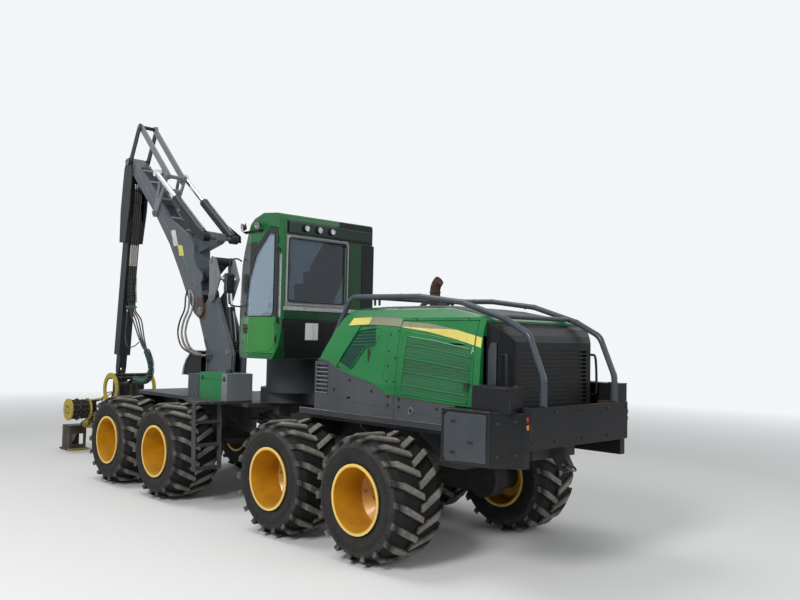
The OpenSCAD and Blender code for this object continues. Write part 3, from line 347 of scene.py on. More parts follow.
def tyreMaterial():
    material, tree, shader = newMaterial("tyreRubber")
    place = objectPlace(tree)
    wheel = placeGroup(tree, wheelGroup)
    reach = wheel.outputs["Reach"]
    blotch = noise(tree, place, 6.0, 8.0, 0.68)
    fine = noise(tree, place, 55.0, 5.0, 0.6)
    rubber = mixColour(tree, remap(tree, fine, 0.35, 0.7), (0.011, 0.011, 0.012), (0.024, 0.023, 0.022))
    side = math2(tree, "MULTIPLY", remap(tree, reach, 0.6, 0.4), remap(tree, blotch, 0.38, 0.7))
    colour = mixColour(tree, math2(tree, "MULTIPLY", side, 0.3), rubber, (0.085, 0.075, 0.062))
    top = remap(tree, reach, 0.612, 0.646)
    worn = math2(tree, "MULTIPLY", top, remap(tree, blotch, 0.28, 0.6, 0.3, 1.0))
    colour = mixColour(tree, math2(tree, "MULTIPLY", worn, 0.85), colour, (0.265, 0.245, 0.215))
    shoulder = math2(tree, "MULTIPLY", remap(tree, wheel.outputs["Side"], 0.3, 0.345),
        remap(tree, reach, 0.5, 0.58))
    shoulder = math2(tree, "MULTIPLY", shoulder, remap(tree, blotch, 0.32, 0.58))
    colour = mixColour(tree, math2(tree, "MULTIPLY", shoulder, 0.6), colour, (0.23, 0.215, 0.19))
    tree.links.new(colour, shader.inputs["Base Color"])
    tree.links.new(remap(tree, blotch, 0.3, 0.7, 0.6, 0.9), shader.inputs["Roughness"])
    shader.inputs["Specular IOR Level"].default_value = 0.15
    cracks = tree.nodes.new("ShaderNodeTexVoronoi")
    cracks.feature = "DISTANCE_TO_EDGE"
    cracks.inputs["Scale"].default_value = 38.0
    tree.links.new(place, cracks.inputs["Vector"])
    rough = math2(tree, "ADD", fine, math2(tree, "MULTIPLY",
        remap(tree, cracks.outputs["Distance"], 0.0, 0.08), 0.3))
    addBump(tree, shader, rough, 0.45, 0.005)
    return material


def rimMaterial():
    # deep yellow dish with a paler flange, dust low in the dish and rust where stones have chipped it
    material, tree, shader = newMaterial("rimYellow")
    place = objectPlace(tree)
    wheel = placeGroup(tree, wheelGroup)
    cloud = noise(tree, place, 4.0, 6.0, 0.6)
    base = mixColour(tree, remap(tree, cloud, 0.35, 0.65), (0.5, 0.215, 0.001), (0.64, 0.3, 0.002))
    flange = math2(tree, "MULTIPLY", remap(tree, wheel.outputs["Reach"], 0.326, 0.334),
        remap(tree, wheel.outputs["Side"], 0.318, 0.326))
    base = mixColour(tree, math2(tree, "MULTIPLY", flange, 0.75), base, (0.8, 0.65, 0.2))
    chips = remap(tree, noise(tree, place, 26.0, 8.0, 0.75), 0.615, 0.66)
    base = mixColour(tree, math2(tree, "MULTIPLY", chips, 0.85), base, (0.09, 0.042, 0.018))
    dusty = placeGroup(tree, dustGroup, Amount=0.35, High=1.1, Up=0.5, Scale=7.0)
    base = mixColour(tree, dusty.outputs["Mask"], base, (0.24, 0.16, 0.07))
    tree.links.new(base, shader.inputs["Base Color"])
    tree.links.new(remap(tree, cloud, 0.3, 0.7, 0.3, 0.5), shader.inputs["Roughness"])
    shader.inputs["Coat Weight"].default_value = 0.15
    addBump(tree, shader, noise(tree, place, 90.0, 3.0, 0.5), 0.05, 0.002)
    return material


def screenMaterial(name, colour, holeShadeTone, scale):
    # perforated sheet: round holes in staggered rows, drawn as dark dots of painted shade with a pressed
    # edge
    material, tree, shader = newMaterial(name)
    cells = tree.nodes.new("ShaderNodeTexVoronoi")
    cells.inputs["Scale"].default_value = scale
    cells.inputs["Randomness"].default_value = 0.0
    tree.links.new(objectPlace(tree), cells.inputs["Vector"])
    holeShade = remap(tree, cells.outputs["Distance"], 0.36, 0.3)
    tree.links.new(mixColour(tree, holeShade, colour, holeShadeTone), shader.inputs["Base Color"])
    shader.inputs["Roughness"].default_value = 0.55
    addBump(tree, shader, remap(tree, cells.outputs["Distance"], 0.28, 0.42), 0.5, 0.003)
    return material


def clothMaterial(name, colour, scale):
    material, tree, shader = newMaterial(name)
    place = objectPlace(tree)
    waves = []
    for turn in (0.0, math.pi / 2):
        spin = tree.nodes.new("ShaderNodeMapping")
        spin.inputs["Rotation"].default_value = (0.0, turn, 0.4)
        tree.links.new(place, spin.inputs["Vector"])
        wave = tree.nodes.new("ShaderNodeTexWave")
        wave.inputs["Scale"].default_value = scale
        wave.inputs["Distortion"].default_value = 0.6
        tree.links.new(spin.outputs[0], wave.inputs["Vector"])
        waves.append(wave.outputs["Fac"])
    weave = math2(tree, "MULTIPLY", waves[0], waves[1])
    tree.links.new(mixColour(tree, weave, colour, tuple(c * 1.8 for c in colour)),
        shader.inputs["Base Color"])
    shader.inputs["Roughness"].default_value = 0.92
    shader.inputs["Sheen Weight"].default_value = 0.25
    addBump(tree, shader, weave, 0.4, 0.001)
    return material


# Finishes. Each zone is a tone and the low and high corners of a box of the machine that carries it; the
# cab's rear-wall and fascia zones are painted shade
greyPanel = (0.044, 0.052, 0.06)
paints = {
    "hoodGreen": dict(colour=(0.008, 0.135, 0.034), rough=0.3, coat=0.25, dust=0.1, dustHigh=1.9, wear=0.12,
        streak=0.15, scuff=0.1, up=0.15, wearTone=(0.05, 0.22, 0.09)),
    # cab green: the door's paint darkened as painted shade
    "cabGreen": dict(colour=(0.005, 0.095, 0.022), rough=0.28, coat=0.2, dust=0.08, dustHigh=2.3, wear=0.12,
        streak=0.12, scuff=0.08, up=0.1, wearTone=(0.05, 0.2, 0.08),
        # rear wall and the fascia over it darkened further: painted shade
        zones=(((0.004, 0.04, 0.013), (-0.572, 0.0, 2.48), (-0.568, 0.8, 3.88)),
        ((0.004, 0.016, 0.009), (-0.64, 0.0, 3.56), (-0.568, 0.72, 3.83)),
        ((0.23, 0.222, 0.23), (-0.592, 0.0, 2.56), (-0.5702, 0.8, 3.56)),
        ((0.006, 0.01, 0.01), (-0.02, 0.6, 2.5), (0.3, 0.82, 3.5)),
        ((0.006, 0.01, 0.01), (0.3, 0.3, 2.5), (0.87, 0.82, 3.48)),
        ((0.006, 0.007, 0.008), (-0.572, 0.0, 1.9), (-0.56, 0.8, 2.48)))),
    # door green: the same paint as the cab, lightened as painted sunlight
    "doorGreen": dict(colour=(0.018, 0.165, 0.026), rough=0.28, coat=0.2, dust=0.08, dustHigh=2.3, wear=0.12,
        streak=0.12, scuff=0.08, up=0.1, wearTone=(0.05, 0.2, 0.08),
        zones=(((0.006, 0.012, 0.009), (-0.6, 0.4, 2.505), (0.5, 0.9, 3.75)),)),
    "boxGreen": dict(colour=(0.01, 0.15, 0.045), rough=0.36, coat=0.1, dust=0.25, dustHigh=1.9, wear=0.5,
        zones=((greyPanel, (1.15, 0.5, 1.3), (1.5, 1.0, 1.8)), ((0.16, 0.17, 0.18), (0.34, 0.5, 1.3),
        (0.48, 1.0, 1.8)))),
    "frameGrey": dict(colour=(0.03, 0.034, 0.04), rough=0.46, dust=0.35, dustHigh=1.9, wear=0.6),
    "axleGrey": dict(colour=(0.022, 0.023, 0.025), rough=0.6, dust=0.6, dustHigh=1.6, wear=0.5),
    "coverGrey": dict(colour=(0.055, 0.06, 0.068), rough=0.4, dust=0.22, dustHigh=1.9, wear=0.4,
        streak=0.4),
    "railGrey": dict(colour=(0.05, 0.06, 0.075), rough=0.3, coat=0.15, dust=0.06, wear=0.8, wearRadius=0.006,
        scuff=0.5),
    "boxBlack": dict(colour=(0.01, 0.011, 0.013), rough=0.32, dust=0.22, dustHigh=1.6, wear=0.5, scuff=0.4,
        zones=(((0.06, 0.028, 0.016), (-4.492, 0.0, 1.302), (-4.2, 0.795, 1.7)),)),
    "panelGrey": dict(colour=greyPanel, rough=0.34, dust=0.25, dustHigh=1.6, wear=0.5, scuff=0.7,
        streak=0.5),
    "cowlBlack": dict(colour=(0.007, 0.008, 0.009), rough=0.35, dust=0.1, dustHigh=2.0, wear=0.15),
    "craneGrey": dict(colour=(0.078, 0.092, 0.104), rough=0.4, dust=0.1, dustHigh=2.4, wear=0.8, streak=0.5,
        scuff=0.5, wearTone=(0.33, 0.33, 0.33), zones=(((0.085, 0.05, 0.034), (2.4, 0.0, 2.5),
        (2.62, 0.2, 2.86)),)),
    "linkGrey": dict(colour=(0.15, 0.165, 0.18), rough=0.42, dust=0.1, dustHigh=2.4, wear=0.9, streak=0.5,
        scuff=0.6, wearTone=(0.36, 0.36, 0.36)),
    "craneDark": dict(colour=(0.014, 0.016, 0.018), rough=0.38, dust=0.12, dustHigh=2.4, wear=0.7,
        streak=0.4, scuff=0.4),
    "barrelBlack": dict(colour=(0.012, 0.014, 0.016), rough=0.34, dust=0.1, dustHigh=2.4, wear=0.6),
    "headYellow": dict(colour=(0.33, 0.255, 0.03), rough=0.5, dust=0.4, dustHigh=0.9, wear=0.9, streak=0.6,
        scuff=0.9, wearTone=(0.045, 0.04, 0.034), zones=(((0.012, 0.012, 0.013), (6.48, 0.19, -0.1),
        (6.9, 0.62, 0.6)), ((0.012, 0.012, 0.013), (5.0, 0.0, 0.655), (6.15, 0.16, 0.9)))),
    "mountYellow": dict(colour=(0.35, 0.27, 0.035), rough=0.46, dust=0.35, dustHigh=1.2, wear=0.9,
        streak=0.5, scuff=0.8, wearTone=(0.045, 0.04, 0.034), zones=(((0.012, 0.012, 0.013), (4.7, 0.0, 0.5),
        (5.9, 0.34, 1.7)),)),
    "rollerBlack": dict(colour=(0.012, 0.012, 0.013), rough=0.5, dust=0.45, dustHigh=1.1, wear=0.9,
        scuff=0.5, zones=(((0.4, 0.31, 0.045), (5.8, 0.385, 0.0), (6.4, 0.418, 1.3)),
        ((0.4, 0.31, 0.045), (5.8, 0.738, 0.0), (6.4, 0.8, 1.3)),
        ((0.42, 0.35, 0.08), (5.8, 0.05, 0.985), (6.4, 0.37, 1.3)))),
    "wornSteel": dict(colour=(0.18, 0.165, 0.145), rough=0.42, metal=0.75, dust=0.25, dustHigh=1.2, wear=0.4,
        streak=0.6),
    "rustBrown": dict(colour=(0.055, 0.03, 0.022), rough=0.78, dust=0.05, wear=0.5,
        wearTone=(0.16, 0.07, 0.035), streak=0.6, spread=0.4, bump=0.25, scuff=0.8),
    "engineDark": dict(colour=(0.02, 0.021, 0.023), rough=0.6, dust=0.4, wear=0.2),
    "stripeYellow": dict(colour=(0.56, 0.49, 0.13), rough=0.34, coat=0.1, dust=0.04, wear=0.0, streak=0.45,
        scuff=0.5, wearTone=(0.3, 0.26, 0.14)),
    "stripeBeige": dict(colour=(0.2, 0.2, 0.135), rough=0.36, coat=0.1, dust=0.04, wear=0.0, streak=0.45,
        scuff=0.5, wearTone=(0.5, 0.44, 0.2)),
    "hoodMat": dict(colour=(0.06, 0.062, 0.062), rough=0.5, dust=0.2, dustHigh=1.9, wear=0.0, up=0.5,
        bump=0.35),
    "signWhite": dict(colour=(0.56, 0.57, 0.56), rough=0.4, dust=0.08, wear=0.3, streak=0.5, scuff=0.5,
        wearTone=(0.2, 0.2, 0.2)),
    "signYellow": dict(colour=(0.6, 0.56, 0.12), rough=0.4, dust=0.08, wear=0.3, streak=0.5, scuff=0.5),
    # dark sheet for the hood's recess: painted shade
    "recessGreen": dict(colour=(0.003, 0.036, 0.024), rough=0.3, dust=0.05, wear=0.0, streak=0.2,
        scuff=0.1),
}
plains = {
    "rubberBlack": dict(colour=(0.01, 0.01, 0.011), rough=0.62),
    "hoseBlack": dict(colour=(0.012, 0.012, 0.013), rough=0.5, grain=90.0),
    "spiralGreen": dict(colour=(0.01, 0.055, 0.036), rough=0.4, grain=30.0),
    "spiralGrey": dict(colour=(0.26, 0.255, 0.235), rough=0.45, grain=30.0),
    "barSteel": dict(colour=(0.36, 0.36, 0.37), rough=0.32, metal=0.9),
    "boltSteel": dict(colour=(0.2, 0.2, 0.2), rough=0.38, metal=0.85),
    "boltDark": dict(colour=(0.02, 0.021, 0.023), rough=0.42, metal=0.3),
    "brass": dict(colour=(0.42, 0.33, 0.14), rough=0.35, metal=0.9),
    "windowSilver": dict(colour=(0.3, 0.31, 0.33), rough=0.42, metal=0.0, grain=20.0, bump=0.03),
    "lampChrome": dict(colour=(0.55, 0.57, 0.6), rough=0.14, metal=1.0, grain=8.0, bump=0.0),
    "plasticDark": dict(colour=(0.018, 0.019, 0.021), rough=0.55, grain=140.0, bump=0.2),
    "clampGreen": dict(colour=(0.01, 0.11, 0.05), rough=0.4, grain=30.0),
    "lampRed": dict(colour=(0.42, 0.012, 0.01), rough=0.22, grain=10.0, bump=0.0),
    "lampOrange": dict(colour=(0.75, 0.23, 0.01), rough=0.22, grain=10.0, bump=0.0),
}
finish = {name: paintMaterial(name, **look) for name, look in paints.items()}
finish.update({name: plainMaterial(name, **look) for name, look in plains.items()})
finish.update({
    "rodChrome": chromeMaterial(),
    "tyre": tyreMaterial(),
    "rimYellow": rimMaterial(),
    "pane": glassMaterial("cabPane", (0.22, 0.27, 0.32), 0.9),
    "sidePane": glassMaterial("sidePane", (0.5, 0.62, 0.72), 0.8),
    "lampPane": glassMaterial("lampPane", (0.92, 0.94, 0.95), 0.85),
    "seatCloth": clothMaterial("seatCloth", (0.014, 0.015, 0.018), 260.0),
    # the second tone of each screen is the painted shade in its holes
    "louvreScreen": screenMaterial("louvreScreen", (0.008, 0.085, 0.028), (0.001, 0.008, 0.004), 46.0),
    "grilleScreen": screenMaterial("grilleScreen", (0.016, 0.018, 0.02), (0.002, 0.002, 0.002), 62.0),
})

nodeFinish = {
    "hood": "hoodGreen", "hood_door_left": "hoodGreen", "hood_door_right": "hoodGreen",
    "cab_shell": "cabGreen", "cab_door": "doorGreen", "side_boxes": "boxGreen",
    "rear_frame": "frameGrey", "front_frame": "frameGrey", "rear_bogies": "axleGrey",
    "front_bogies": "axleGrey",
    "side_covers": "coverGrey", "guard_rails": "railGrey", "tail_boxes": "boxBlack",
    "tail_cowl": "cowlBlack",
    "platform": "frameGrey", "exhaust": "rustBrown", "engine_block": "engineDark",
    "cab_glass": "pane", "door_glass": "sidePane",
    "crane_column": "craneGrey", "main_boom": "craneGrey", "link_plates": "linkGrey", "rocker": "linkGrey",
    "tie_links": "linkGrey",
    "coupler": "craneDark", "jib": "craneDark", "jib_extension": "craneDark", "hanger": "craneDark",
    "head_mount": "mountYellow",
    "lift_barrel": "barrelBlack", "luff_barrels": "barrelBlack", "lift_rod": "rodChrome",
    "luff_rods": "rodChrome",
    "steer_barrel_left": "barrelBlack", "steer_barrel_right": "barrelBlack", "steer_rod_left": "rodChrome",
    "steer_rod_right": "rodChrome",
    "head_frame": "headYellow", "feed_arm_left": "rollerBlack", "feed_arm_right": "rollerBlack",
    "knives_left": "wornSteel", "knives_right": "wornSteel", "saw_bar": "barSteel", "cab_seat": "seatCloth",
}
for side in ("left", "right"):
    for i in range(1, 5):
        nodeFinish[f"tyre_{side}_{i}"] = "tyre"
        nodeFinish[f"rim_{side}_{i}"] = "rimYellow"
for name, label in nodeFinish.items():
    nodes[name].data.materials.clear()
    nodes[name].data.materials.append(finish[label])
print("finishes placed on", len(nodeFinish), "nodes")


# Small modelling helpers

def clearSelection():
    if bpy.context.object and bpy.context.object.mode != "OBJECT":
        bpy.ops.object.mode_set(mode="OBJECT")
    bpy.ops.object.select_all(action="DESELECT")


def choose(piece):
    clearSelection()
    piece.select_set(True)
    bpy.context.view_layer.objects.active = piece
    return piece


def settle(piece):
    # place goes into the mesh, the object stays at zero
    choose(piece)
    bpy.ops.object.transform_apply(location=True, rotation=True, scale=True)
    return piece


def joined(pieces, name):
    choose(pieces[0])
    for piece in pieces:
        piece.select_set(True)
    if len(pieces) > 1:
        bpy.ops.object.join()
    result = bpy.context.object
    result.name = name
    result.data.name = name
    return settle(result)


def dress(piece, body, look):
    piece.data.materials.clear()
    piece.data.materials.append(finish[look])
    if isinstance(body, str):
        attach(piece, body)
    else:
        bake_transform(piece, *body)
    return piece


def edited(piece, action, **values):
    # one mesh operator on the whole piece
    choose(piece)
    bpy.ops.object.mode_set(mode="EDIT")
    bpy.ops.mesh.select_all(action="SELECT")
    action(**values)
    bpy.ops.object.mode_set(mode="OBJECT")
    return piece


def add(name, body, look, *pieces, slot=None):
    # joins the pieces into one named piece of the model
    return dress(joined(pieces, name), body, look)


def bevelAll(piece, width, segments=2):
    return edited(piece, bpy.ops.mesh.bevel, offset=width, segments=segments)


def meshPiece(verts, faces, name):
    mesh = bpy.data.meshes.new(name)
    mesh.from_pydata(verts, [], faces)
    mesh.update()
    piece = bpy.data.objects.new(name, mesh)
    bpy.context.scene.collection.objects.link(piece)
    return choose(piece)


def boxAt(low, high, bevel=0.004):
    clearSelection()
    low, high = at(*low), at(*high)
    bpy.ops.mesh.primitive_cube_add(size=1, location=(low + high) / 2)
    piece = bpy.context.object
    piece.scale = high - low
    settle(piece)
    return bevelAll(piece, bevel) if bevel else piece


def roundAt(start, end, radius, sides=24, bevel=0.0, tip=None):
    # a turned piece between two points; tip is its radius at the far end
    clearSelection()
    start, end = at(*start), at(*end)
    turn = (end - start).to_track_quat("Z", "Y").to_euler()
    bpy.ops.mesh.primitive_cone_add(vertices=sides, radius1=radius, radius2=radius if tip is None
        else tip, depth=(end - start).length, location=(start + end) / 2, rotation=turn)
    piece = settle(bpy.context.object)
    return bevelAll(piece, bevel) if bevel else piece


def ringAt(centre, axis, radius, wire, sides=32, wireSides=8):
    clearSelection()
    turn = Vector(axis).to_track_quat("Z", "Y").to_euler()
    bpy.ops.mesh.primitive_torus_add(location=at(*centre), rotation=turn, major_radius=radius,
        minor_radius=wire, major_segments=sides, minor_segments=wireSides)
    settle(bpy.context.object)
    bpy.ops.object.shade_smooth()
    return bpy.context.object


def plateAt(outline, axis, low, high, bevel=0.002):
    # an outline in the two other directions, pushed along the axis from low to high
    spread = {"x": lambda a, b: (low, a, b), "y": lambda a, b: (a, low, b), "z": lambda a,
        b: (a, b, low)}[axis]
    piece = meshPiece([at(*spread(a, b)) for a, b in outline], [list(range(len(outline)))], "plate")
    push = {"x": (high - low, 0, 0), "y": (0, high - low, 0), "z": (0, 0, high - low)}[axis]
    bpy.ops.object.mode_set(mode="EDIT")
    bpy.ops.mesh.select_all(action="SELECT")
    bpy.ops.mesh.extrude_region_move(TRANSFORM_OT_translate={"value": push})
    bpy.ops.mesh.select_all(action="SELECT")
    if bevel:
        bpy.ops.mesh.bevel(offset=bevel, segments=1)
        bpy.ops.mesh.select_all(action="SELECT")
    bpy.ops.mesh.normals_make_consistent(inside=False)
    bpy.ops.object.mode_set(mode="OBJECT")
    return piece


def smoothLine(points, steps=8):
    # one smooth curve through the chosen points
    points = [Vector(p) for p in points]
    ends = [points[0] * 2 - points[1], *points, points[-1] * 2 - points[-2]]
    line = []
    for i in range(1, len(ends) - 2):
        p, q, r, s = ends[i - 1:i + 3]
        for k in range(steps):
            t = k / steps
            square, cube = 2 * p - 5 * q + 4 * r - s, 3 * q - p - 3 * r + s
            line.append(0.5 * (2 * q + (r - p) * t + square * t * t + cube * t ** 3))
    return line + [points[-1]]


def lineLength(line):
    return sum((b - a).length for a, b in zip(line, line[1:]))


def tubeAlong(line, radius, sides=8):
    clearSelection()
    curve = bpy.data.curves.new("tube", "CURVE")
    curve.dimensions = "3D"
    curve.bevel_depth = radius
    curve.bevel_resolution = max(0, sides // 2 - 2)
    curve.use_fill_caps = True
    spline = curve.splines.new("POLY")
    spline.points.add(len(line) - 1)
    for point, place in zip(spline.points, line):
        point.co = (*place, 1.0)
    piece = bpy.data.objects.new("tube", curve)
    bpy.context.scene.collection.objects.link(piece)
    choose(piece)
    bpy.ops.object.convert(target="MESH")
    bpy.ops.object.shade_smooth_by_angle(angle=math.radians(50))
    return bpy.context.object


def pipeAt(points, radius, sides=8, steps=6):
    return tubeAlong(smoothLine([at(*p) for p in points], steps), radius, sides)


def helixAlong(line, radius, pitch, perTurn=10):
    # the winding of a spiral wrap round a smooth line
    whole = lineLength(line)
    turns = max(2, round(whole / pitch))
    count = turns * perTurn
    winding = []
    walked, index = 0.0, 0
    side = None
    for k in range(count + 1):
        goal = whole * k / count
        while index < len(line) - 2 and walked + (line[index + 1] - line[index]).length < goal:
            walked += (line[index + 1] - line[index]).length
            index += 1
        step = line[index + 1] - line[index]
        place = line[index] + step * min(1.0, (goal - walked) / max(step.length, 1e-6))
        forward = step.normalized()
        side = (forward.orthogonal() if side is None else side - forward * side.dot(forward)).normalized()
        turn = 2 * math.pi * k / perTurn
        winding.append(place + (side * math.cos(turn) + forward.cross(side) * math.sin(turn)) * radius)
    return winding


surfaceTrees = {}


def onto(nodeName, start, direction):
    # where a ray from the start first meets a node, and the way that face looks
    if nodeName not in surfaceTrees:
        mesh = nodes[nodeName].data
        place = nodes[nodeName].matrix_world
        surfaceTrees[nodeName] = BVHTree.FromPolygons([place @ v.co for v in mesh.vertices],
            [list(p.vertices) for p in mesh.polygons])
    hit, normal, _, _ = surfaceTrees[nodeName].ray_cast(Vector(start), Vector(direction).normalized())
    return hit, normal


def fromSide(nodeName, x, z, side):
    return onto(nodeName, at(x, 3.0 * side, z), (0, -side, 0))


def fromTop(nodeName, x, y):
    return onto(nodeName, at(x, y, 8.0), (0, 0, -1))


def alongEdge(edge, share):
    k = share * (len(edge) - 1)
    i = min(int(k), len(edge) - 2)
    return Vector(edge[i]).lerp(Vector(edge[i + 1]), k - i)


def sheetBetween(lower, upper, columns, rows, onSurface, outward, thick):
    # a thin sheet between two edges, each of its points laid on a surface
    verts = []
    for c in range(columns + 1):
        low, high = alongEdge(lower, c / columns), alongEdge(upper, c / columns)
        verts += [onSurface(low.lerp(high, r / rows)) for r in range(rows + 1)]
    corners = [c * (rows + 1) + r for c in range(columns) for r in range(rows)]
    piece = meshPiece(verts, [(a, a + 1, a + rows + 2, a + rows + 1) for a in corners], "sheet")
    if piece.data.polygons[0].normal.dot(Vector(outward)) < 0:
        edited(piece, bpy.ops.mesh.flip_normals)
    solid = piece.modifiers.new("thickness", "SOLIDIFY")
    solid.thickness = thick
    solid.offset = -1.0
    bpy.ops.object.modifier_apply(modifier=solid.name)
    bpy.ops.object.shade_smooth_by_angle(angle=math.radians(40))
    return piece


def found(hits):
    return [(hit, normal) for hit, normal in hits if hit is not None]


def circleOf(count, radius, start=0.0):
    # steps round a circle, as offsets in two directions
    turns = [2 * math.pi * (k + start) / count for k in range(count)]
    return [(radius * math.cos(turn), radius * math.sin(turn)) for turn in turns]


def stripOn(nodeName, side, lower, upper, columns=28, rows=3, lift=0.0015, top=False):
    # a sheet on a node; points are x and z seen from the side, or x and y seen from the top
    outward = (0, 0, 1) if top else (0, side, 0)

    def onNode(p):
        hit, _ = fromTop(nodeName, *p) if top else fromSide(nodeName, *p, side)
        return hit + Vector(outward) * lift

    return sheetBetween(lower, upper, columns, rows, onNode, outward, lift)


def seamOn(nodeName, side, points, width=0.003, top=False):
    # a dark joint line laid on a node
    line = []
    for a, b in zip(points, points[1:]):
        count = max(2, round((Vector(b) - Vector(a)).length / 0.04))
        for k in range(count + (b == points[-1])):
            p = Vector(a).lerp(Vector(b), k / count)
            hit, _ = fromTop(nodeName, p[0], p[1]) if top else fromSide(nodeName, p[0], p[1], side)
            if hit is not None:
                line.append(hit)
    return tubeAlong(line, width, 6)


def boltForm(radius, height):
    # hexagon head with a chamfer on a washer, standing on the origin and looking along Z
    clearSelection()
    bpy.ops.mesh.primitive_cylinder_add(vertices=6, radius=radius, depth=height,
        location=(0, 0, height / 2 + radius * 0.15))
    head = bpy.context.object
    bpy.ops.object.mode_set(mode="EDIT")
    bpy.ops.mesh.select_all(action="DESELECT")
    bpy.ops.object.mode_set(mode="OBJECT")
    for face in head.data.polygons:
        face.select = face.normal.z > 0.9
    bpy.ops.object.mode_set(mode="EDIT")
    bpy.ops.mesh.inset(thickness=radius * 0.18, depth=height * 0.15)
    bpy.ops.object.mode_set(mode="OBJECT")
    clearSelection()
    bpy.ops.mesh.primitive_cylinder_add(vertices=14, radius=radius * 1.45, depth=radius * 0.3,
        location=(0, 0, radius * 0.1))
    washer = bpy.context.object
    return joined([head, washer], "bolt")


def spreadOver(form, places, name):
    # copies of one form, each with its own mesh, turned to look along its normal
    copies = []
    for place, normal in places:
        copy = bpy.data.objects.new(name, form.data.copy())
        bpy.context.scene.collection.objects.link(copy)
        turn = Vector(normal).to_track_quat("Z", "Y").to_matrix().to_4x4()
        copy.data.transform(Matrix.Translation(place) @ turn)
        copies.append(copy)
    bpy.data.objects.remove(form)
    return joined(copies, name)


def boltsAt(name, body, places, radius=0.011, look="boltSteel"):
    return dress(spreadOver(boltForm(radius, radius * 0.8), places, name), body, look)


def sideBolts(name, body, nodeName, points, radius=0.011, look="boltSteel", sides=(1, -1)):
    return boltsAt(name, body, found(fromSide(nodeName, x, z, side) for side in sides for x, z in points),
        radius, look)


# Stage: floor, lamps, world and camera
studio = {"floorTone": (0.66, 0.66, 0.65), "backTone": (0.9, 0.92, 0.94), "fadeStart": 9.0,
    "fadeEnd": 22.0, "worldLevel": 0.42, "eye": (-8.9121, 6.7189, 2.2439), "yaw": -0.7664,
    "pitch": 0.0497, "roll": 0.021, "focalShare": 799.5 / 800.0}


def buildFloor():
    clearSelection()
    bpy.ops.mesh.primitive_circle_add(vertices=96, radius=90, fill_type="NGON", location=(0, 0, 0))
    floor = bpy.context.object
    floor.name = "floor"
    material, tree, shader = newMaterial("paleFloor")
    shader.inputs["Base Color"].default_value = (*studio["floorTone"], 1.0)
    shader.inputs["Roughness"].default_value = 0.9
    place = splitPlace(tree, objectPlace(tree))
    far = math2(tree, "ADD", math2(tree, "MULTIPLY", place["X"], place["X"]),
        math2(tree, "MULTIPLY", place["Y"], place["Y"]))
    fade = remap(tree, math2(tree, "SQRT", far), studio["fadeStart"], studio["fadeEnd"])
    glow = tree.nodes.new("ShaderNodeEmission")
    glow.inputs["Color"].default_value = (*studio["backTone"], 1.0)
    path = tree.nodes.new("ShaderNodeLightPath")
    mix = tree.nodes.new("ShaderNodeMixShader")
    tree.links.new(math2(tree, "MULTIPLY", fade, path.outputs["Is Camera Ray"]), mix.inputs[0])
    tree.links.new(shader.outputs[0], mix.inputs[1])
    tree.links.new(glow.outputs[0], mix.inputs[2])
    tree.links.new(mix.outputs[0], tree.nodes["Material Output"].inputs[0])
    floor.data.materials.append(material)


def buildLamps():
    lamps = (  # name, place, aim, size, power
        ("keyLamp", (-7.0, 13.0, 10.5), (-1.2, 0.0, 1.6), 5.0, 1750),
        ("fillLamp", (-15.0, -4.0, 6.0), (-1.5, 0.0, 1.5), 8.0, 420),
        ("topLamp", (2.0, 3.0, 13.0), (0.0, 0.0, 1.5), 7.0, 650),
    )
    for name, place, aim, size, power in lamps:
        clearSelection()
        bpy.ops.object.light_add(type="AREA", location=place)
        lamp = bpy.context.object
        lamp.name = name
        lamp.data.shape = "DISK"
        lamp.data.size = size
        lamp.data.energy = power
        lamp.rotation_euler = (Vector(aim) - Vector(place)).to_track_quat("-Z", "Y").to_euler()


def buildWorld():
    world = bpy.data.worlds.new("studio")
    bpy.context.scene.world = world
    world.use_nodes = True
    tree = world.node_tree
    tree.nodes.clear()
    out = tree.nodes.new("ShaderNodeOutputWorld")
    soft = tree.nodes.new("ShaderNodeBackground")
    soft.inputs["Color"].default_value = (0.93, 0.96, 1.0, 1.0)
    soft.inputs["Strength"].default_value = studio["worldLevel"]
    seen = tree.nodes.new("ShaderNodeBackground")
    seen.inputs["Color"].default_value = (*studio["backTone"], 1.0)
    path = tree.nodes.new("ShaderNodeLightPath")
    shown = math2(tree, "MAXIMUM", path.outputs["Is Camera Ray"], path.outputs["Is Transmission Ray"])
    shown = math2(tree, "MAXIMUM", shown, path.outputs["Is Glossy Ray"])
    mix = tree.nodes.new("ShaderNodeMixShader")
    tree.links.new(shown, mix.inputs[0])
    tree.links.new(soft.outputs[0], mix.inputs[1])
    tree.links.new(seen.outputs[0], mix.inputs[2])
    tree.links.new(mix.outputs[0], out.inputs[0])


def buildCamera():
    yaw, pitch, roll = studio["yaw"], studio["pitch"], studio["roll"]
    forward = Vector((math.cos(yaw) * math.cos(pitch), math.sin(yaw) * math.cos(pitch), math.sin(pitch)))
    right = Vector((math.sin(yaw), -math.cos(yaw), 0.0))
    up = right.cross(forward)
    sideways = right * math.cos(roll) + up * math.sin(roll)
    upwards = up * math.cos(roll) - right * math.sin(roll)
    camera = bpy.data.objects.new("camera", bpy.data.cameras.new("camera"))
    bpy.context.scene.collection.objects.link(camera)
    camera.matrix_world = Matrix((sideways, upwards, -forward)).transposed().to_4x4()
    camera.location = at(*studio["eye"])
    camera.data.sensor_width = 36.0
    camera.data.lens = 36.0 * studio["focalShare"]
    camera.data.clip_end = 300
    bpy.context.scene.camera = camera


buildFloor()
buildLamps()
buildWorld()
buildCamera()
bpy.context.scene.view_settings.view_transform = "Standard"
print("stage and camera ready")


# Hoses. Each crosses one joint: bodies holds two bodies and the points where it leaves and reaches them

def hoseAt(name, points, radius, bodies, look="hoseBlack"):
    line = smoothLine([at(*p) for p in points], 8)
    piece = tubeAlong(line, radius, 8)
    piece.name = name
    dress(piece, bodies, look)
    return line


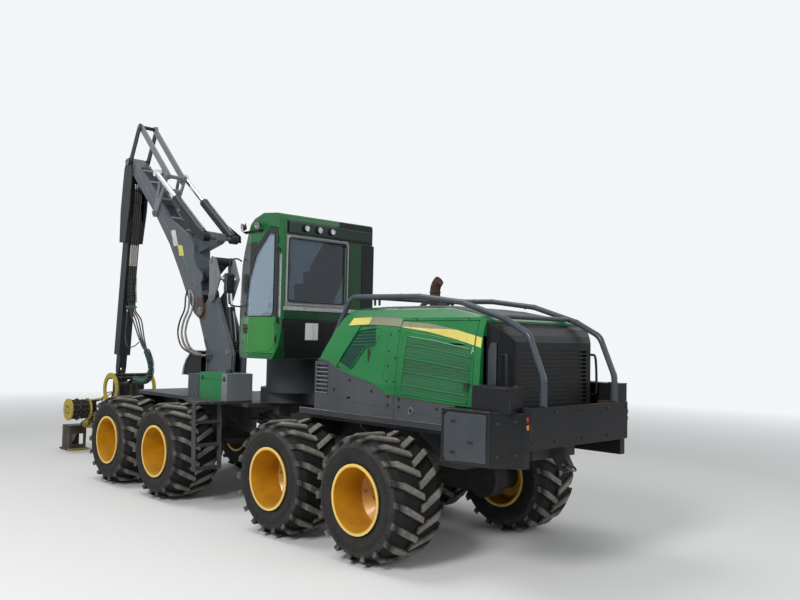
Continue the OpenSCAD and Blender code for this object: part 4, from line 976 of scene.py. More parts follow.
def fittingAt(name, body, line, radius, atEnd=False):
    # crimped sleeve and hexagon nut where a hose is screwed in
    start, inward = (line[-1], line[-2]) if atEnd else (line[0], line[1])
    away = (inward - start).normalized()
    turn = away.to_track_quat("Z", "Y").to_euler()
    clearSelection()
    bpy.ops.mesh.primitive_cylinder_add(vertices=16, radius=radius * 1.35, depth=radius * 4.5,
        location=start + away * radius * 3.6, rotation=turn)
    sleeve = bevelAll(settle(bpy.context.object), radius * 0.2)
    clearSelection()
    bpy.ops.mesh.primitive_cylinder_add(vertices=6, radius=radius * 1.75, depth=radius * 1.8,
        location=start + away * radius * 0.6, rotation=turn)
    nut = bevelAll(settle(bpy.context.object), radius * 0.15, 1)
    return add(name, body, "boltSteel", sleeve, nut)


# Wheels: nuts in the dish and round the hub, valve
wheel = {"rings": ((12, 0.198, 0.1275), (6, 0.072, 0.0275))}  # count, circle and how far inwards


def buildWheelDetails():
    for sideName, side in bothSides:
        for i in range(1, 5):
            x = machine["halfBase"] * (1 if i < 3 else -1) + machine["bogieHalf"] * (1 if i % 2 else -1)
            centre = at(x, side * machine["halfTrack"], machine["wheelRadius"])
            body = f"wheel_{sideName}_{i}"
            places = []
            for count, circle, offset in wheel["rings"]:
                for a, b in circleOf(count, circle, 0.5):
                    places.append((centre + Vector((a, -side * offset, b)), (0, side, 0)))
            boltsAt(f"wheelNuts_{sideName}_{i}", body, places, 0.017, "boltDark")
            valve = roundAt((x + 0.275, side * 1.058, 0.65), (x + 0.262, side * 1.105, 0.65), 0.007, 12,
                0.001)
            add(f"valve_{sideName}_{i}", body, "brass", valve)


buildWheelDetails()
print("wheels dressed")


# Hood: stripe, louvre field, recess, joint lines, screws, handle, mat on top
hood = {
    "profile": ((1.6, 0.88), (1.76, 0.88), (2.11, 0.858), (2.34, 0.8204), (2.47, 0.774)),
    "frontLow": ((-1.93, 2.395), (-2.27, 2.408)), "frontHigh": ((-1.99, 2.478), (-2.3, 2.49)),
    "bandLow": ((-2.27, 2.408), (-2.62, 2.394), (-2.794, 2.384)),
    "bandHigh": ((-2.3, 2.49), (-2.62, 2.48), (-2.794, 2.47)),
    "doorLow": ((-2.806, 2.38), (-3.2, 2.335), (-3.6, 2.262), (-3.855, 2.205)),
    "doorMiddle": ((-2.806, 2.386), (-3.2, 2.366), (-3.45, 2.36), (-3.6, 2.355), (-3.855, 2.3)),
    "doorHigh": ((-2.806, 2.44), (-3.2, 2.418), (-3.6, 2.355), (-3.855, 2.3)),
    "tailLow": ((-3.872, 2.2), (-3.943, 2.184)), "tailHigh": ((-3.872, 2.296), (-3.943, 2.279)),
    "louvreLow": ((-2.885, 1.685), (-3.8, 1.64)), "louvreHigh": ((-2.92, 2.28), (-3.3, 2.243),
        (-3.838, 2.16)),
    "recessLow": ((-2.055, 1.9), (-2.286, 2.167), (-2.434, 2.172), (-2.49, 2.29)),
    "recessHigh": ((-1.85, 1.985), (-2.111, 2.331), (-2.3, 2.356), (-2.459, 2.372)),
}


def hoodSide(z):
    # half the hood's width at a height, without its slots and recesses
    for (low, a), (high, b) in zip(hood["profile"], hood["profile"][1:]):
        if z <= high:
            return a + (b - a) * max(0.0, z - low) / (high - low)
    return hood["profile"][-1][1]


def onHood(side, p, offset):
    return at(p[0], side * (hoodSide(p[1]) + offset), p[1])


def panelOver(side, lower, upper, columns, rows, offset, thick):
    # a sheet that follows the hood's side and bridges its slots
    return sheetBetween(lower, upper, columns, rows, lambda p: onHood(side, p, offset), (0, side, 0),
        thick)


def beadOver(side, points, radius, offset=0.0, steps=6):
    # a round bead along a line on the hood's side
    line = []
    for a, b in zip(points, points[1:]):
        for k in range(steps + (b == points[-1])):
            line.append(onHood(side, Vector(a).lerp(Vector(b), k / steps), offset))
    return tubeAlong(line, radius, 6)


def buildHoodSides():
    for name, side in bothSides:
        door = f"hood_door_{name}"
        stripes = (("Front", "rear_chassis", "stripeYellow", "frontLow", "frontHigh", 8),
            ("Band", "rear_chassis", "stripeBeige", "bandLow", "bandHigh", 10),
            ("Tail", "rear_chassis", "stripeYellow", "tailLow", "tailHigh", 3),
            ("Door", door, "stripeYellow", "doorLow", "doorMiddle", 28),
            ("DoorBand", door, "stripeBeige", "doorMiddle", "doorHigh", 28))
        for label, body, look, low, high, columns in stripes:
            lowEdge, highEdge = hood[low], hood[high]
            if label == "DoorBand":
                lowEdge, highEdge = hood["doorMiddle"][:3] + ((-3.58, 2.357),
                    ), hood["doorHigh"][:2] + ((-3.45, 2.379), (-3.58, 2.3585))
            elif label == "Door":
                lowEdge = tuple(tuple(alongEdge(hood["doorLow"], k / 12)) for k in range(13))
                highEdge = tuple(tuple(alongEdge(hood["doorMiddle"], k / 12)) for k in range(13))
            strip = panelOver(side, lowEdge, highEdge, columns, 4, 0.0028, 0.0015)
            add(f"stripe{label}_{name}", body, look, strip, slot="hood_green")
        field = panelOver(side, hood["louvreLow"], hood["louvreHigh"], 24, 16, 0.0022, 0.0018)
        add(f"louvreField_{name}", door, "louvreScreen", field)
        slats = []
        for k in range(17):
            share = (k + 0.5) / 17
            ends = [alongEdge(hood["louvreLow"], t).lerp(alongEdge(hood["louvreHigh"], t), share)
                for t in (0.015, 0.35, 0.7, 0.985)]
            slats.append(beadOver(side, [tuple(p) for p in ends], 0.0085 if k % 4 == 2 else 0.0032, 0.003,
                4))
        add(f"louvreSlats_{name}", door, "hoodGreen", *slats)
        rim = [hood["louvreLow"][0], hood["louvreLow"][1], hood["louvreHigh"][2], hood["louvreHigh"][1],
            hood["louvreHigh"][0], hood["louvreLow"][0]]
        beads = [beadOver(side, rim, 0.009, 0.001, 8)]
        outer = ((-3.845, 1.625), (-3.855, 2.13), (-3.835, 2.195), (-3.3, 2.29), (-2.925, 2.33),
            (-2.87, 2.31), (-2.845, 2.25), (-2.835, 1.64))
        beads.append(beadOver(side, outer, 0.0045, -0.001, 6))
        add(f"doorBeads_{name}", door, "hoodGreen", *beads)
        # dark green sheet inside the recess: painted shade
        floor = panelOver(side, hood["recessLow"], hood["recessHigh"], 24, 6, -0.0085, 0.0012)
        add(f"recessFloorPaintedShade_{name}", "rear_chassis", "recessGreen", floor)
        lines = [beadOver(side, ((-2.475 + 0.012 * k, 2.335 - 0.036 * k),
            (-2.16 + 0.03 * k, 2.318 - 0.036 * k)), 0.0042, -0.006, 6) for k in range(5)]
        loop = hood["recessLow"] + hood["recessHigh"][::-1] + hood["recessLow"][:1]
        lines.append(beadOver(side, loop, 0.0055, 0.0005, 5))
        add(f"recessBeads_{name}", "rear_chassis", "hoodGreen", *lines)
        seams = [beadOver(side, ((-2.6, 2.47), (-2.625, 2.3), (-2.63, 2.05), (-2.6, 1.8)), 0.003, -0.001)]
        seams.append(beadOver(side, ((-2.79, 2.376), (-2.45, 2.4), (-1.95, 2.388)), 0.0022, -0.0005))
        add(f"hoodSeams_{name}", "rear_chassis", "rubberBlack", *seams)
        handle = plateAt([(-2.33, 2.15), (-2.352, 2.152), (-2.366, 1.998), (-2.344, 1.996)], "y",
            side * 0.862, side * 0.868, 0.001)
        add(f"slotHandle_{name}", "rear_chassis", "rubberBlack", handle)
        # closing panel between the cover and the deck, with its joint, a ring round a dark disc of painted
        # shade, and a light edge line that is partly wear and partly a painted highlight
        lower = plateAt([(-1.665, 1.412), (-1.665, 1.594), (-3.64, 1.466), (-3.64, 1.412)], "y",
            side * 0.848, side * 0.866, 0.0015)
        add(f"lowerCover_{name}", "rear_chassis", "coverGrey", lower)
        back = roundAt((-2.04, side * 0.842, 1.56), (-2.04, side * 0.847, 1.56), 0.055, 24, 0.001)
        joint = pipeAt([(-2.77, side * 0.8725, 1.665), (-2.772, side * 0.8725, 1.53),
            (-2.772, side * 0.8665, 1.52), (-2.774, side * 0.8665, 1.415)], 0.003, 6, 2)
        # dark disc inside the ring standing for the hole: painted shade
        holeShade = roundAt((-3.03, side * 0.86, 1.512), (-3.03, side * 0.8735, 1.512), 0.026, 24, 0.001)
        add(f"coverJoint_{name}", "rear_chassis", "rubberBlack", joint, holeShade, back)
        # light line along the deck lip: edge wear and a painted highlight
        edge = pipeAt([(-1.13, side * 0.86, 1.4105), (-2.4, side * 0.86, 1.4105),
            (-3.63, side * 0.86, 1.4105)], 0.0055, 6, 2)
        ring = ringAt((-3.03, side * 0.8725, 1.512), (0, 1, 0), 0.032, 0.006, 28, 8)
        add(f"deckEdgeWornAndHighlight_{name}", "rear_chassis", "linkGrey", edge, ring, slot="cover_grey")
    sideBolts("hoodScrews", "rear_chassis", "hood", [(-2.665, z)
        for z in (2.3, 2.12, 1.96, 1.8)] + [(-2.775, z) for z in (2.34, 2.05, 1.8)], 0.008, "boltDark")
    sideBolts("skirtScrews", "rear_chassis", "side_covers",
        [(-2.05, 1.78), (-2.42, 1.68), (-1.78, 1.66), (-2.68, 1.64), (-2.68, 1.55), (-2.85, 1.62),
        (-2.85, 1.54), (-3.4, 1.56)], 0.012, "boltDark")


def buildHoodTop():
    mat = stripOn("hood", 1, ((-2.3, -0.56), (-2.6, -0.6), (-3.86, -0.6)),
        ((-2.3, 0.56), (-2.6, 0.6), (-3.86, 0.6)), 24, 12, 0.004, True)
    add("hoodMat", "rear_chassis", "hoodMat", mat)
    seams = [seamOn("hood", 1, ((-2.6, -0.7), (-2.6, 0.7)), 0.003, True),
        seamOn("hood", 1, ((-2.22, -0.62), (-2.22, 0.62)), 0.003, True)]
    add("hoodTopSeams", "rear_chassis", "rubberBlack", *seams)
    collar = []
    hit, normal = fromTop("hood", -2.3, -0.4)
    z = hit.z
    collar.append(ringAt((-2.3, -0.23, z + 0.012), (0, 0, 1), 0.078, 0.014))
    collar.append(ringAt((-2.3, -0.23, z + 0.2), (0, 0, 1), 0.066, 0.006))
    add("exhaustCollar", "rear_chassis", "rustBrown", *collar)
    cap = roundAt((-2.95, 0.34, z - 0.01), (-2.95, 0.34, z + 0.055), 0.055, 28, 0.006)
    grip = boxAt((-2.99, 0.328, z + 0.05), (-2.91, 0.352, z + 0.07), 0.004)
    add("fillerCap", "rear_chassis", "plasticDark", cap, grip)
    # bracket with two tabs under the rail
    for name, side in bothSides:
        tabs = []
        for x in (-2.16, -2.235):
            tabs.append(plateAt([(x - 0.02, 2.705), (x + 0.02, 2.705), (x + 0.016, 2.625),
                (x - 0.016, 2.625)], "y", side * 0.607, side * 0.615, 0.002))
        tabs.append(boxAt((-2.265, side * 0.611 - 0.01, 2.69), (-2.13, side * 0.611 + 0.01, 2.704),
            0.002))
        add(f"railBracket_{name}", "rear_chassis", "cowlBlack", *tabs)


def buildIntakes():
    for name, side in bothSides:
        edges = []
        for i in range(7):
            z = 1.6135 + i * 0.048
            edges.append(pipeAt([(-1.632, side * 0.8515, z), (-1.423, side * 0.8515, z)], 0.0055, 6, 2))
            edges.append(pipeAt([(-1.3935, side * 0.598, z), (-1.3935, side * 0.79, z)], 0.0055, 6, 2))
        add(f"intakeEdges_{name}", "rear_chassis", "linkGrey", *edges, slot="cover_grey")
        rim = plateAt([(-1.655, 1.965), (-1.635, 1.972), (-1.635, 1.6), (-1.655, 1.58)], "y",
            side * 0.8505, side * 0.858, 0.003)
        foot = plateAt([(-1.38, 1.45), (-1.38, 1.66), (-1.24, 1.45)], "y", side * 0.8, side * 0.812,
            0.003)
        lamp = boxAt((-1.372, side * 0.7 - 0.05, 1.415), (-1.26, side * 0.7 + 0.05, 1.5), 0.012)
        add(f"intakeBracket_{name}", "rear_chassis", "cowlBlack", rim, foot, lamp)
    tank = boxAt((-2.03, -0.54, 1.352), (-1.665, 0.54, 1.76), 0.035)
    neck = roundAt((-1.8, 0.3, 1.755), (-1.8, 0.3, 1.8), 0.045, 24, 0.005)
    add("oilTank", "rear_chassis", "engineDark", tank, neck)


buildHoodSides()
buildHoodTop()
buildIntakes()
print("hood dressed")


# Tail: panels on the boxes, latches, cowl panels, grille screen, handles, basket, hook
tail = {
    "latches": ((-3.8, 1.49), (-4.02, 1.31), (-3.8, 1.2)), "lamps": ((1.545, "lampRed"),
        (1.475, "lampOrange")),
    "screwColumns": (-0.8, -0.45, 0.0, 0.45, 0.8), "screwRows": (1.33, 1.6),
    "railRings": ((-3.35, 2.652), (-2.6, 2.7195), (-1.95, 2.732)),
}


def buildTail():
    for name, side in bothSides:
        panel = plateAt([(-3.69, 1.15), (-3.69, 1.53), (-3.735, 1.57), (-4.205, 1.57), (-4.205, 1.135),
            (-3.72, 1.115)], "y", side * 1.0702, side * 1.0745, 0.002)
        add(f"boxPanel_{name}", "rear_chassis", "panelGrey", panel)
        latches = []
        for x, z in tail["latches"]:
            latches.append(plateAt([(x - 0.03, z - 0.018), (x - 0.03, z + 0.018), (x + 0.03, z + 0.026),
                (x + 0.03, z - 0.01)], "y", side * 1.0745, side * 1.084, 0.003))
            latches.append(roundAt((x + 0.012, side * 1.082, z + 0.004),
                (x + 0.012, side * 1.09, z + 0.004), 0.011, 16, 0.002))
        add(f"boxLatches_{name}", "rear_chassis", "boltDark", *latches)
        lid = plateAt([(-3.655, 1.594), (-3.655, 1.606), (-4.245, 1.606), (-4.245, 1.594)], "y",
            side * 1.04, side * 1.0735, 0.003)
        lip = boxAt((-4.425, side * 0.905 - 0.098, 1.8205), (-3.965, side * 0.905 + 0.098, 1.832), 0.004)
        hinge = [roundAt((x, side * 0.812, 1.836), (x + 0.05, side * 0.812, 1.836), 0.008, 12, 0.001)
            for x in (-4.36, -4.08)]
        knob = boxAt((-4.225, side * 1.0005 - 0.004, 1.775), (-4.165, side * 1.0005 + 0.004, 1.812),
            0.003)
        add(f"boxLids_{name}", "rear_chassis", "boxBlack", lid, lip, knob, *hinge)
        # grey panel in the black frame of the cowl, and its handle
        pane = plateAt([(-3.975, 1.72), (-3.975, 2.17), (-4.005, 2.235), (-4.075, 2.235), (-4.075, 1.72)],
            "y", side * 0.7735, side * 0.7785, 0.002)
        add(f"cowlPanel_{name}", "rear_chassis", "panelGrey", pane)
        handle = pipeAt([(-4.12, side * 0.742, 1.7), (-4.17, side * 0.765, 1.705),
            (-4.19, side * 0.77, 1.74), (-4.19, side * 0.77, 1.95), (-4.18, side * 0.76, 2.105),
            (-4.15, side * 0.735, 2.125), (-4.105, side * 0.735, 2.12)], 0.013, 10)
        add(f"cowlHandle_{name}", "rear_chassis", "barrelBlack", handle)
        # seam and screws of the chamfered end of the box
        bead = pipeAt([(-4.244, side * 1.0715, 1.112), (-4.244, side * 1.0715, 1.592)], 0.004, 6, 2)
        add(f"boxBead_{name}", "rear_chassis", "boltDark", bead)
    sideBolts("boxScrews", "rear_chassis", "tail_boxes", [(-4.3, 1.5), (-4.3, 1.2), (-4.42, 1.52),
        (-4.42, 1.22), (-3.665, 1.56), (-3.665, 1.14)], 0.011, "boltDark")
    screen = boxAt((-4.162, -0.575, 1.625), (-4.158, 0.575, 2.175), 0.001)
    add("grilleScreen", "rear_chassis", "grilleScreen", screen)
    seams = [pipeAt([(-4.2012, y, 1.42), (-4.2012, y, 2.19)], 0.0035, 6, 2) for y in (-0.6, 0.6)]
    add("grilleBeads", "rear_chassis", "boltDark", *seams)
    spots = [(y, z) for y in tail["screwColumns"] for z in tail["screwRows"]]
    backs = found(onto("tail_boxes", at(-6.0, y, z), (1, 0, 0)) for y, z in spots)
    boltsAt("basketScrews", "rear_chassis", backs, 0.011, "boltDark")
    lamps = []
    for name, side in bothSides:
        for z, look in tail["lamps"]:
            hit, normal = onto("tail_boxes", at(-6.0, side * 0.845, z), (1, 0, 0))
            x, y, z = local(hit)
            glass = roundAt((x + 0.004, y, z), (x - 0.01, y, z), 0.026, 24, 0.004)
            add(f"tailLamp{look[4:]}_{name}", "rear_chassis", look, glass, slot="cab_glass")
            lamps.append(ringAt((x - 0.004, y, z), (1, 0, 0), 0.029, 0.004))
    add("tailLampRings", "rear_chassis", "rubberBlack", *lamps)
    # bent bow of the tow shackle
    bow = pipeAt([(-4.345, 0.04, 1.055), (-4.395, 0.046, 1.03), (-4.435, 0.03, 1.01),
        (-4.447, 0.0, 1.004), (-4.435, -0.03, 1.01), (-4.395, -0.046, 1.03), (-4.345, -0.04, 1.055)],
        0.011, 10)
    bolt = roundAt((-4.345, -0.06, 1.055), (-4.345, 0.06, 1.055), 0.015, 16, 0.002)
    add("towShackle", "rear_chassis", "wornSteel", bow, bolt)
    step = [boxAt((x, y - 0.07, 1.8322), (x + 0.09, y + 0.07, 1.8352), 0.001) for y in (0.93, -0.93)
        for x in (-3.85, -4.05)]
    add("lidGripPads", "rear_chassis", "rubberBlack", *step)


def buildRails():
    spots = [(x, y, z) for y in (0.61, -0.61) for x, z in tail["railRings"]]
    clamps = [ringAt(spot, (1, 0, -0.12), 0.031, 0.0035, 24, 6) for spot in spots]
    add("railRings", "rear_chassis", "railGrey", *clamps)
    feet = [(at(x, y, 2.0), (0, 0, 1)) for x in (-1.385, -1.295) for y in (-0.655, -0.565, 0.565, 0.655)]
    boltsAt("railFootScrews", "rear_chassis", feet, 0.01)


buildTail()
buildRails()
print("tail dressed")


# Front half: treads, fuel cap, slanted plate, hoses over the centre joint, screws
front = {"hoseRadius": 0.014, "hoseRows": ((0.21, 1.245), (0.26, 1.205), (0.31, 1.165))}


def buildFrontHalf():
    grips = []
    for z in (0.49, 0.79, 1.09):
        for k in range(4):
            y = 1.19 + k * 0.045
            grips.append(boxAt((0.455, y - 0.008, z + 0.001), (0.665, y + 0.008, z + 0.01), 0.003))
    for i in range(5):
        for j in range(5):
            x, y = 0.42 + i * 0.145, 0.66 + j * 0.1
            hit, normal = fromTop("platform", x, y)
            if hit is not None and hit.z < 1.45:
                grips.append(ringAt(local(hit), (0, 0, 1), 0.02, 0.0035, 14, 5))
    add("stepTreads", "front_chassis", "boltDark", *grips)
    for name, side in bothSides:
        hit, normal = fromTop("side_boxes", 0.62, side * 0.76)
        y, z = side * 0.76, hit.z
        neck = roundAt((0.62, y, z - 0.003), (0.62, y, z + 0.018), 0.052, 28, 0.004)
        cap = roundAt((0.62, y, z + 0.016), (0.62, y, z + 0.046), 0.044, 20, 0.006)
        grip = boxAt((0.585, y - 0.007, z + 0.044), (0.655, y + 0.007, z + 0.058), 0.003)
        add(f"fuelCap_{name}", "front_chassis", "plasticDark", neck, cap, grip)
        bits = []
        for x in (0.42, 0.98):
            bits.append(boxAt((x - 0.022, side * 0.963 - 0.008, 1.64),
                (x + 0.022, side * 0.963 + 0.008, 1.7), 0.004))
        bits.append(seamOn("side_boxes", side, ((0.365, 1.655), (1.045, 1.655)), 0.003))
        add(f"boxCatches_{name}", "front_chassis", "boltDark", *bits)
        plate = plateAt([(1.475, 1.36), (1.475, 1.52), (1.66, 1.5), (1.86, 1.36)], "y", side * 0.735,
            side * 0.747, 0.003)
        add(f"deckGuard_{name}", "front_chassis", "linkGrey", plate, slot="cover_grey")
    sideBolts("sideBoxScrews", "front_chassis", "side_boxes",
        [(0.4, 1.45), (1.02, 1.45), (1.22, 1.42), (1.44, 1.42), (1.22, 1.62), (1.44, 1.62)], 0.009)
    sideBolts("frameBoltsFront", "front_chassis", "front_frame",
        [(x, 1.24) for x in (0.55, 0.95, 1.35, 1.75, 2.15, 2.55)], 0.014, "boltDark")
    sideBolts("frameBoltsRear", "rear_chassis", "rear_frame",
        [(x, 1.26) for x in (-1.35, -1.75, -2.15, -2.55, -2.95, -3.35)], 0.014, "boltDark")
    for half, node, middle in (("front_chassis", "front_bogies", 2.105),
            ("rear_chassis", "rear_bogies", -2.105)):
        ring = [(middle + a, 0.7 + b) for a, b in circleOf(10, 0.11)]
        ring += [(middle + end + a, 0.65 + b) for end in (-0.75, 0.75) for a,
            b in circleOf(8, 0.085, 0.5)]
        sideBolts(f"axleBolts_{half}", half, node, ring, 0.016, "boltDark")
    heads = found(onto("front_frame", at(6.0, y, z), (-1, 0, 0)) for y in (-0.45, -0.25, 0.25, 0.45)
        for z in (0.95, 1.15))
    boltsAt("noseScrews", "front_chassis", heads, 0.016)


def buildJointHoses():
    for name, side in bothSides:
        for k, (y, z) in enumerate(front["hoseRows"]):
            points = [(-0.86, side * y, z), (-0.74, side * y, z + 0.005),
                (-0.45, side * (y + 0.06), z - 0.045), (-0.05, side * (y + 0.09), z - 0.075),
                (0.3, side * (y + 0.06), z - 0.045), (0.52, side * y, z), (0.62, side * y, z + 0.002)]
            line = hoseAt(f"jointHose_{name}_{k + 1}", points, front["hoseRadius"],
                ("rear_chassis", "front_chassis", at(-0.74, 0, 1.2), at(0.48, 0, 1.2)))
            fittingAt(f"jointFitting_{name}_{k + 1}", "rear_chassis", line, front["hoseRadius"])
            fittingAt(f"jointEnd_{name}_{k + 1}", "front_chassis", line, front["hoseRadius"], True)


# Cab: rear window rubber, lamps, panels, door gear, rail, mirrors, roof lamps
cab = {"lamps": (0.008, 0.222, 0.436), "lampHeight": 3.662, "lampRadius": 0.046}


def loopLine(low, high, corner, steps=5):
    # a rectangle with round corners, as points in two directions
    points = []
    for cx, cy, start in ((high[0] - corner, high[1] - corner, 0),
            (low[0] + corner, high[1] - corner, 90), (low[0] + corner, low[1] + corner, 180),
            (high[0] - corner, low[1] + corner, 270)):
        for k in range(steps + 1):
            turn = math.radians(start + 90 * k / steps)
            points.append((cx + corner * math.cos(turn), cy + corner * math.sin(turn)))
    return points + [points[0]]


def buildCabRear():
    rubber = [tubeAlong([at(-0.5915, y, z) for y, z in loopLine((-0.265, 2.705), (0.69, 3.52), 0.045)],
        0.009, 8)]
    add("rearWindowRubber", "cab", "rubberBlack", *rubber)
    inner = [tubeAlong([at(-0.596, y, z) for y, z in loopLine((-0.292, 2.668), (0.715, 3.552), 0.055)],
        0.005, 8)]
    add("rearWindowBead", "cab", "windowSilver", *inner)
    rims, panes, bulbs = [], [], []
    for y in cab["lamps"]:
        z, r = cab["lampHeight"], cab["lampRadius"]
        rims.append(ringAt((-0.6305, y, z), (1, 0, 0), r - 0.003, 0.006))
        panes.append(roundAt((-0.6305, y, z), (-0.627, y, z), r - 0.006, 28, 0.001))
        bulbs.append(roundAt((-0.6262, y, z), (-0.62, y, z), r - 0.008, 28, 0.0, 0.012))
    add("lampRims", "cab", "plasticDark", *rims)
    add("lampPanes", "cab", "lampPane", *panes)
    add("lampBowls", "cab", "lampChrome", *bulbs)
    black = boxAt((-0.583, -0.735, 3.565), (-0.569, -0.145, 3.815), 0.006)
    corner = boxAt((-0.58, -0.775, 2.62), (-0.569, -0.56, 3.545), 0.006)
    low = boxAt((-0.58, -0.735, 1.985), (-0.569, 0.735, 2.46), 0.01)
    add("rearPanels", "cab", "cowlBlack", black, corner, low)
    vents = [boxAt((-0.586, -0.66 + k * 0.042, 2.16), (-0.579, -0.635 + k * 0.042, 2.34), 0.002)
        for k in range(8)]
    add("rearVents", "cab", "plasticDark", *vents)
    band = boxAt((-0.588, -0.54, 2.59), (-0.568, 0.745, 2.64), 0.006)
    add("rearLightBand", "cab", "windowSilver", band)
    strips = [stripOn("cab_shell", 1, ((-0.548, 2.5), (-0.506, 2.5)), ((-0.548, 3.3), (-0.506, 3.34)), 2,
        10)]
    add("cornerStrip", "cab", "windowSilver", *strips)
    sign = boxAt((-0.5835, 0.187, 2.215), (-0.5795, 0.395, 2.435), 0.001)
    add("blankLabel", "cab", "signWhite", sign)
    screws = [(at(-0.58, y, z), (-1, 0, 0)) for y in (-0.7, -0.4, 0.0, 0.4, 0.7) for z in (2.02, 2.43)]
    screws += [(at(-0.583, y, z), (-1, 0, 0)) for y in (-0.7, -0.18) for z in (3.6, 3.78)]
    boltsAt("rearPanelScrews", "cab", screws, 0.008, "boltDark")


def buildCabSides():
    # bar with its two ends, on the shell just behind the door
    hit, normal = fromSide("cab_shell", -0.535, 2.6, 1)
    y = hit.y
    rail = pipeAt([(-0.535, y - 0.004, 2.42), (-0.535, y + 0.022, 2.44), (-0.535, y + 0.034, 2.5),
        (-0.535, y + 0.034, 2.9), (-0.535, y + 0.034, 3.3), (-0.535, y + 0.022, 3.36),
        (-0.535, y - 0.004, 3.38)], 0.011, 10)
    add("grabRail", "cab", "barrelBlack", rail)
    glassEdge = []
    for px, pz in loopLine((-0.4, 2.52), (0.31, 3.6), 0.07):
        hit, normal = fromSide("cab_door", px + (0.012 if px > 0 else -0.012),
            pz + (0.012 if pz > 3.0 else -0.012), 1)
        if hit is not None and hit.y > 0.69:
            glassEdge.append(hit + Vector((0, 0.002, 0)))
    add("doorGlassRubber", "cab_door", "rubberBlack", tubeAlong(glassEdge, 0.006, 6))
    hit, normal = fromSide("cab_door", 0.2, 2.33, 1)
    y = hit.y
    bowl = plateAt([(0.125, 2.29), (0.125, 2.385), (0.15, 2.41), (0.285, 2.41), (0.3, 2.39), (0.3, 2.29)],
        "y", y - 0.004, y + 0.003, 0.002)
    grip = pipeAt([(0.145, y + 0.002, 2.365), (0.155, y + 0.02, 2.362), (0.215, y + 0.024, 2.36),
        (0.265, y + 0.02, 2.358), (0.278, y + 0.002, 2.356)], 0.009, 8)
    lock = roundAt((0.215, y + 0.001, 2.315), (0.215, y + 0.01, 2.315), 0.014, 20, 0.002)
    add("doorHandle", "cab_door", "plasticDark", bowl, grip, lock)
    edge = found(fromSide("cab_door", x, z, 1) for x, z in ((-0.455, 2.5), (-0.462, 2.24), (-0.44, 2.14),
        (-0.35, 2.075), (-0.1, 2.062), (0.18, 2.066), (0.28, 2.11), (0.335, 2.22), (0.35, 2.5)))
    add("doorBead", "cab_door", "doorGreen", tubeAlong(smoothLine([hit for hit, _ in edge], 4), 0.006, 6))
    knuckles = [roundAt((-0.488, 0.804, z - 0.045), (-0.488, 0.804, z + 0.045), 0.011, 16, 0.002)
        for z in (2.22, 2.95, 3.5)]
    add("doorHinges", "cab", "boltDark", *knuckles)
    for name, side in bothSides:
        places = found(fromSide("cab_shell", x, z, side) for x in (0.42, 0.6, 0.78) for z in (2.16, 2.4))
        boltsAt(f"cabSideScrews_{name}", "cab", [p for p in places if abs(p[0].y) > 0.6], 0.008,
            "boltDark")


def buildMirrors():
    # two curved arms with a mirror head each, standing off the front corners
    for name, side in bothSides:
        hit, normal = onto("cab_shell", at(0.7, side * 3.0, 2.8), (0, -side, 0))
        y = abs(hit.y)
        arm = pipeAt([(0.72, side * (y - 0.01), 3.3), (0.73, side * (y + 0.06), 3.33),
            (0.74, side * (y + 0.15), 3.3), (0.74, side * (y + 0.17), 3.18),
            (0.74, side * (y + 0.17), 2.78), (0.73, side * (y + 0.14), 2.68),
            (0.72, side * (y - 0.01), 2.66)], 0.011, 8)
        add(f"mirrorArm_{name}", "cab", "barrelBlack", arm)
        shell = boxAt((0.715, side * (y + 0.17) - 0.075, 2.84), (0.775, side * (y + 0.17) + 0.075, 3.12),
            0.022)
        add(f"mirrorShell_{name}", "cab", "plasticDark", shell)
        pane = boxAt((0.7115, side * (y + 0.17) - 0.06, 2.862), (0.7155, side * (y + 0.17) + 0.06, 3.098),
            0.001)
        add(f"mirrorPane_{name}", "cab", "lampChrome", pane)


def workLamp(name, body, place, facing):
    # round lamp in a housing: bowl, pane, rim and stand
    facing = Vector(facing).normalized()
    place = Vector(place)
    back = place - facing * 0.055
    bowl = roundAt(tuple(back), tuple(place), 0.03, 24, 0.004, 0.052)
    rim = ringAt(tuple(place), facing, 0.05, 0.005, 24, 6)
    stand = roundAt(tuple(back + facing * 0.01), tuple(back + facing * 0.01 + Vector((0, 0, -0.055
        if place.z > 3.75 else 0.055))), 0.008, 10, 0.001)
    add(name, body, "plasticDark", bowl, rim, stand)
    pane = roundAt(tuple(place), tuple(place + facing * 0.004), 0.047, 24, 0.001)
    add(name + "_pane", body, "lampPane", pane)


def buildRoofLamps():
    for k, y in enumerate((-0.5, -0.25, 0.25, 0.5)):
        hit, normal = onto("cab_shell", at(3.0, y, 3.74), (-1, 0, 0))
        x, y, z = local(hit)
        rim = ringAt((x + 0.004, y, z), (1, 0, 0), 0.05, 0.007, 28, 8)
        add(f"frontLampRim_{k + 1}", "cab", "plasticDark", rim)
        pane = roundAt((x, y, z), (x + 0.006, y, z), 0.047, 28, 0.001)
        add(f"frontLampPane_{k + 1}", "cab", "lampPane", pane)
    # bracket at the left edge of the roof with two lamps, as in the photo
    hit, normal = fromSide("cab_shell", 0.08, 3.7, 1)
    y = hit.y
    bracket = [boxAt((-0.14, y - 0.004, 3.62), (0.28, y + 0.006, 3.66), 0.003),
        boxAt((-0.12, y + 0.002, 3.63), (-0.09, y + 0.05, 3.65), 0.003),
        boxAt((0.23, y + 0.002, 3.63), (0.26, y + 0.05, 3.65), 0.003)]
    add("sideLampBracket", "cab", "cowlBlack", *bracket)
    workLamp("sideLampRear", "cab", (-0.105, y + 0.075, 3.7), (-0.25, 0.95, -0.15))
    workLamp("sideLampFront", "cab", (0.245, y + 0.075, 3.7), (0.25, 0.95, -0.15))


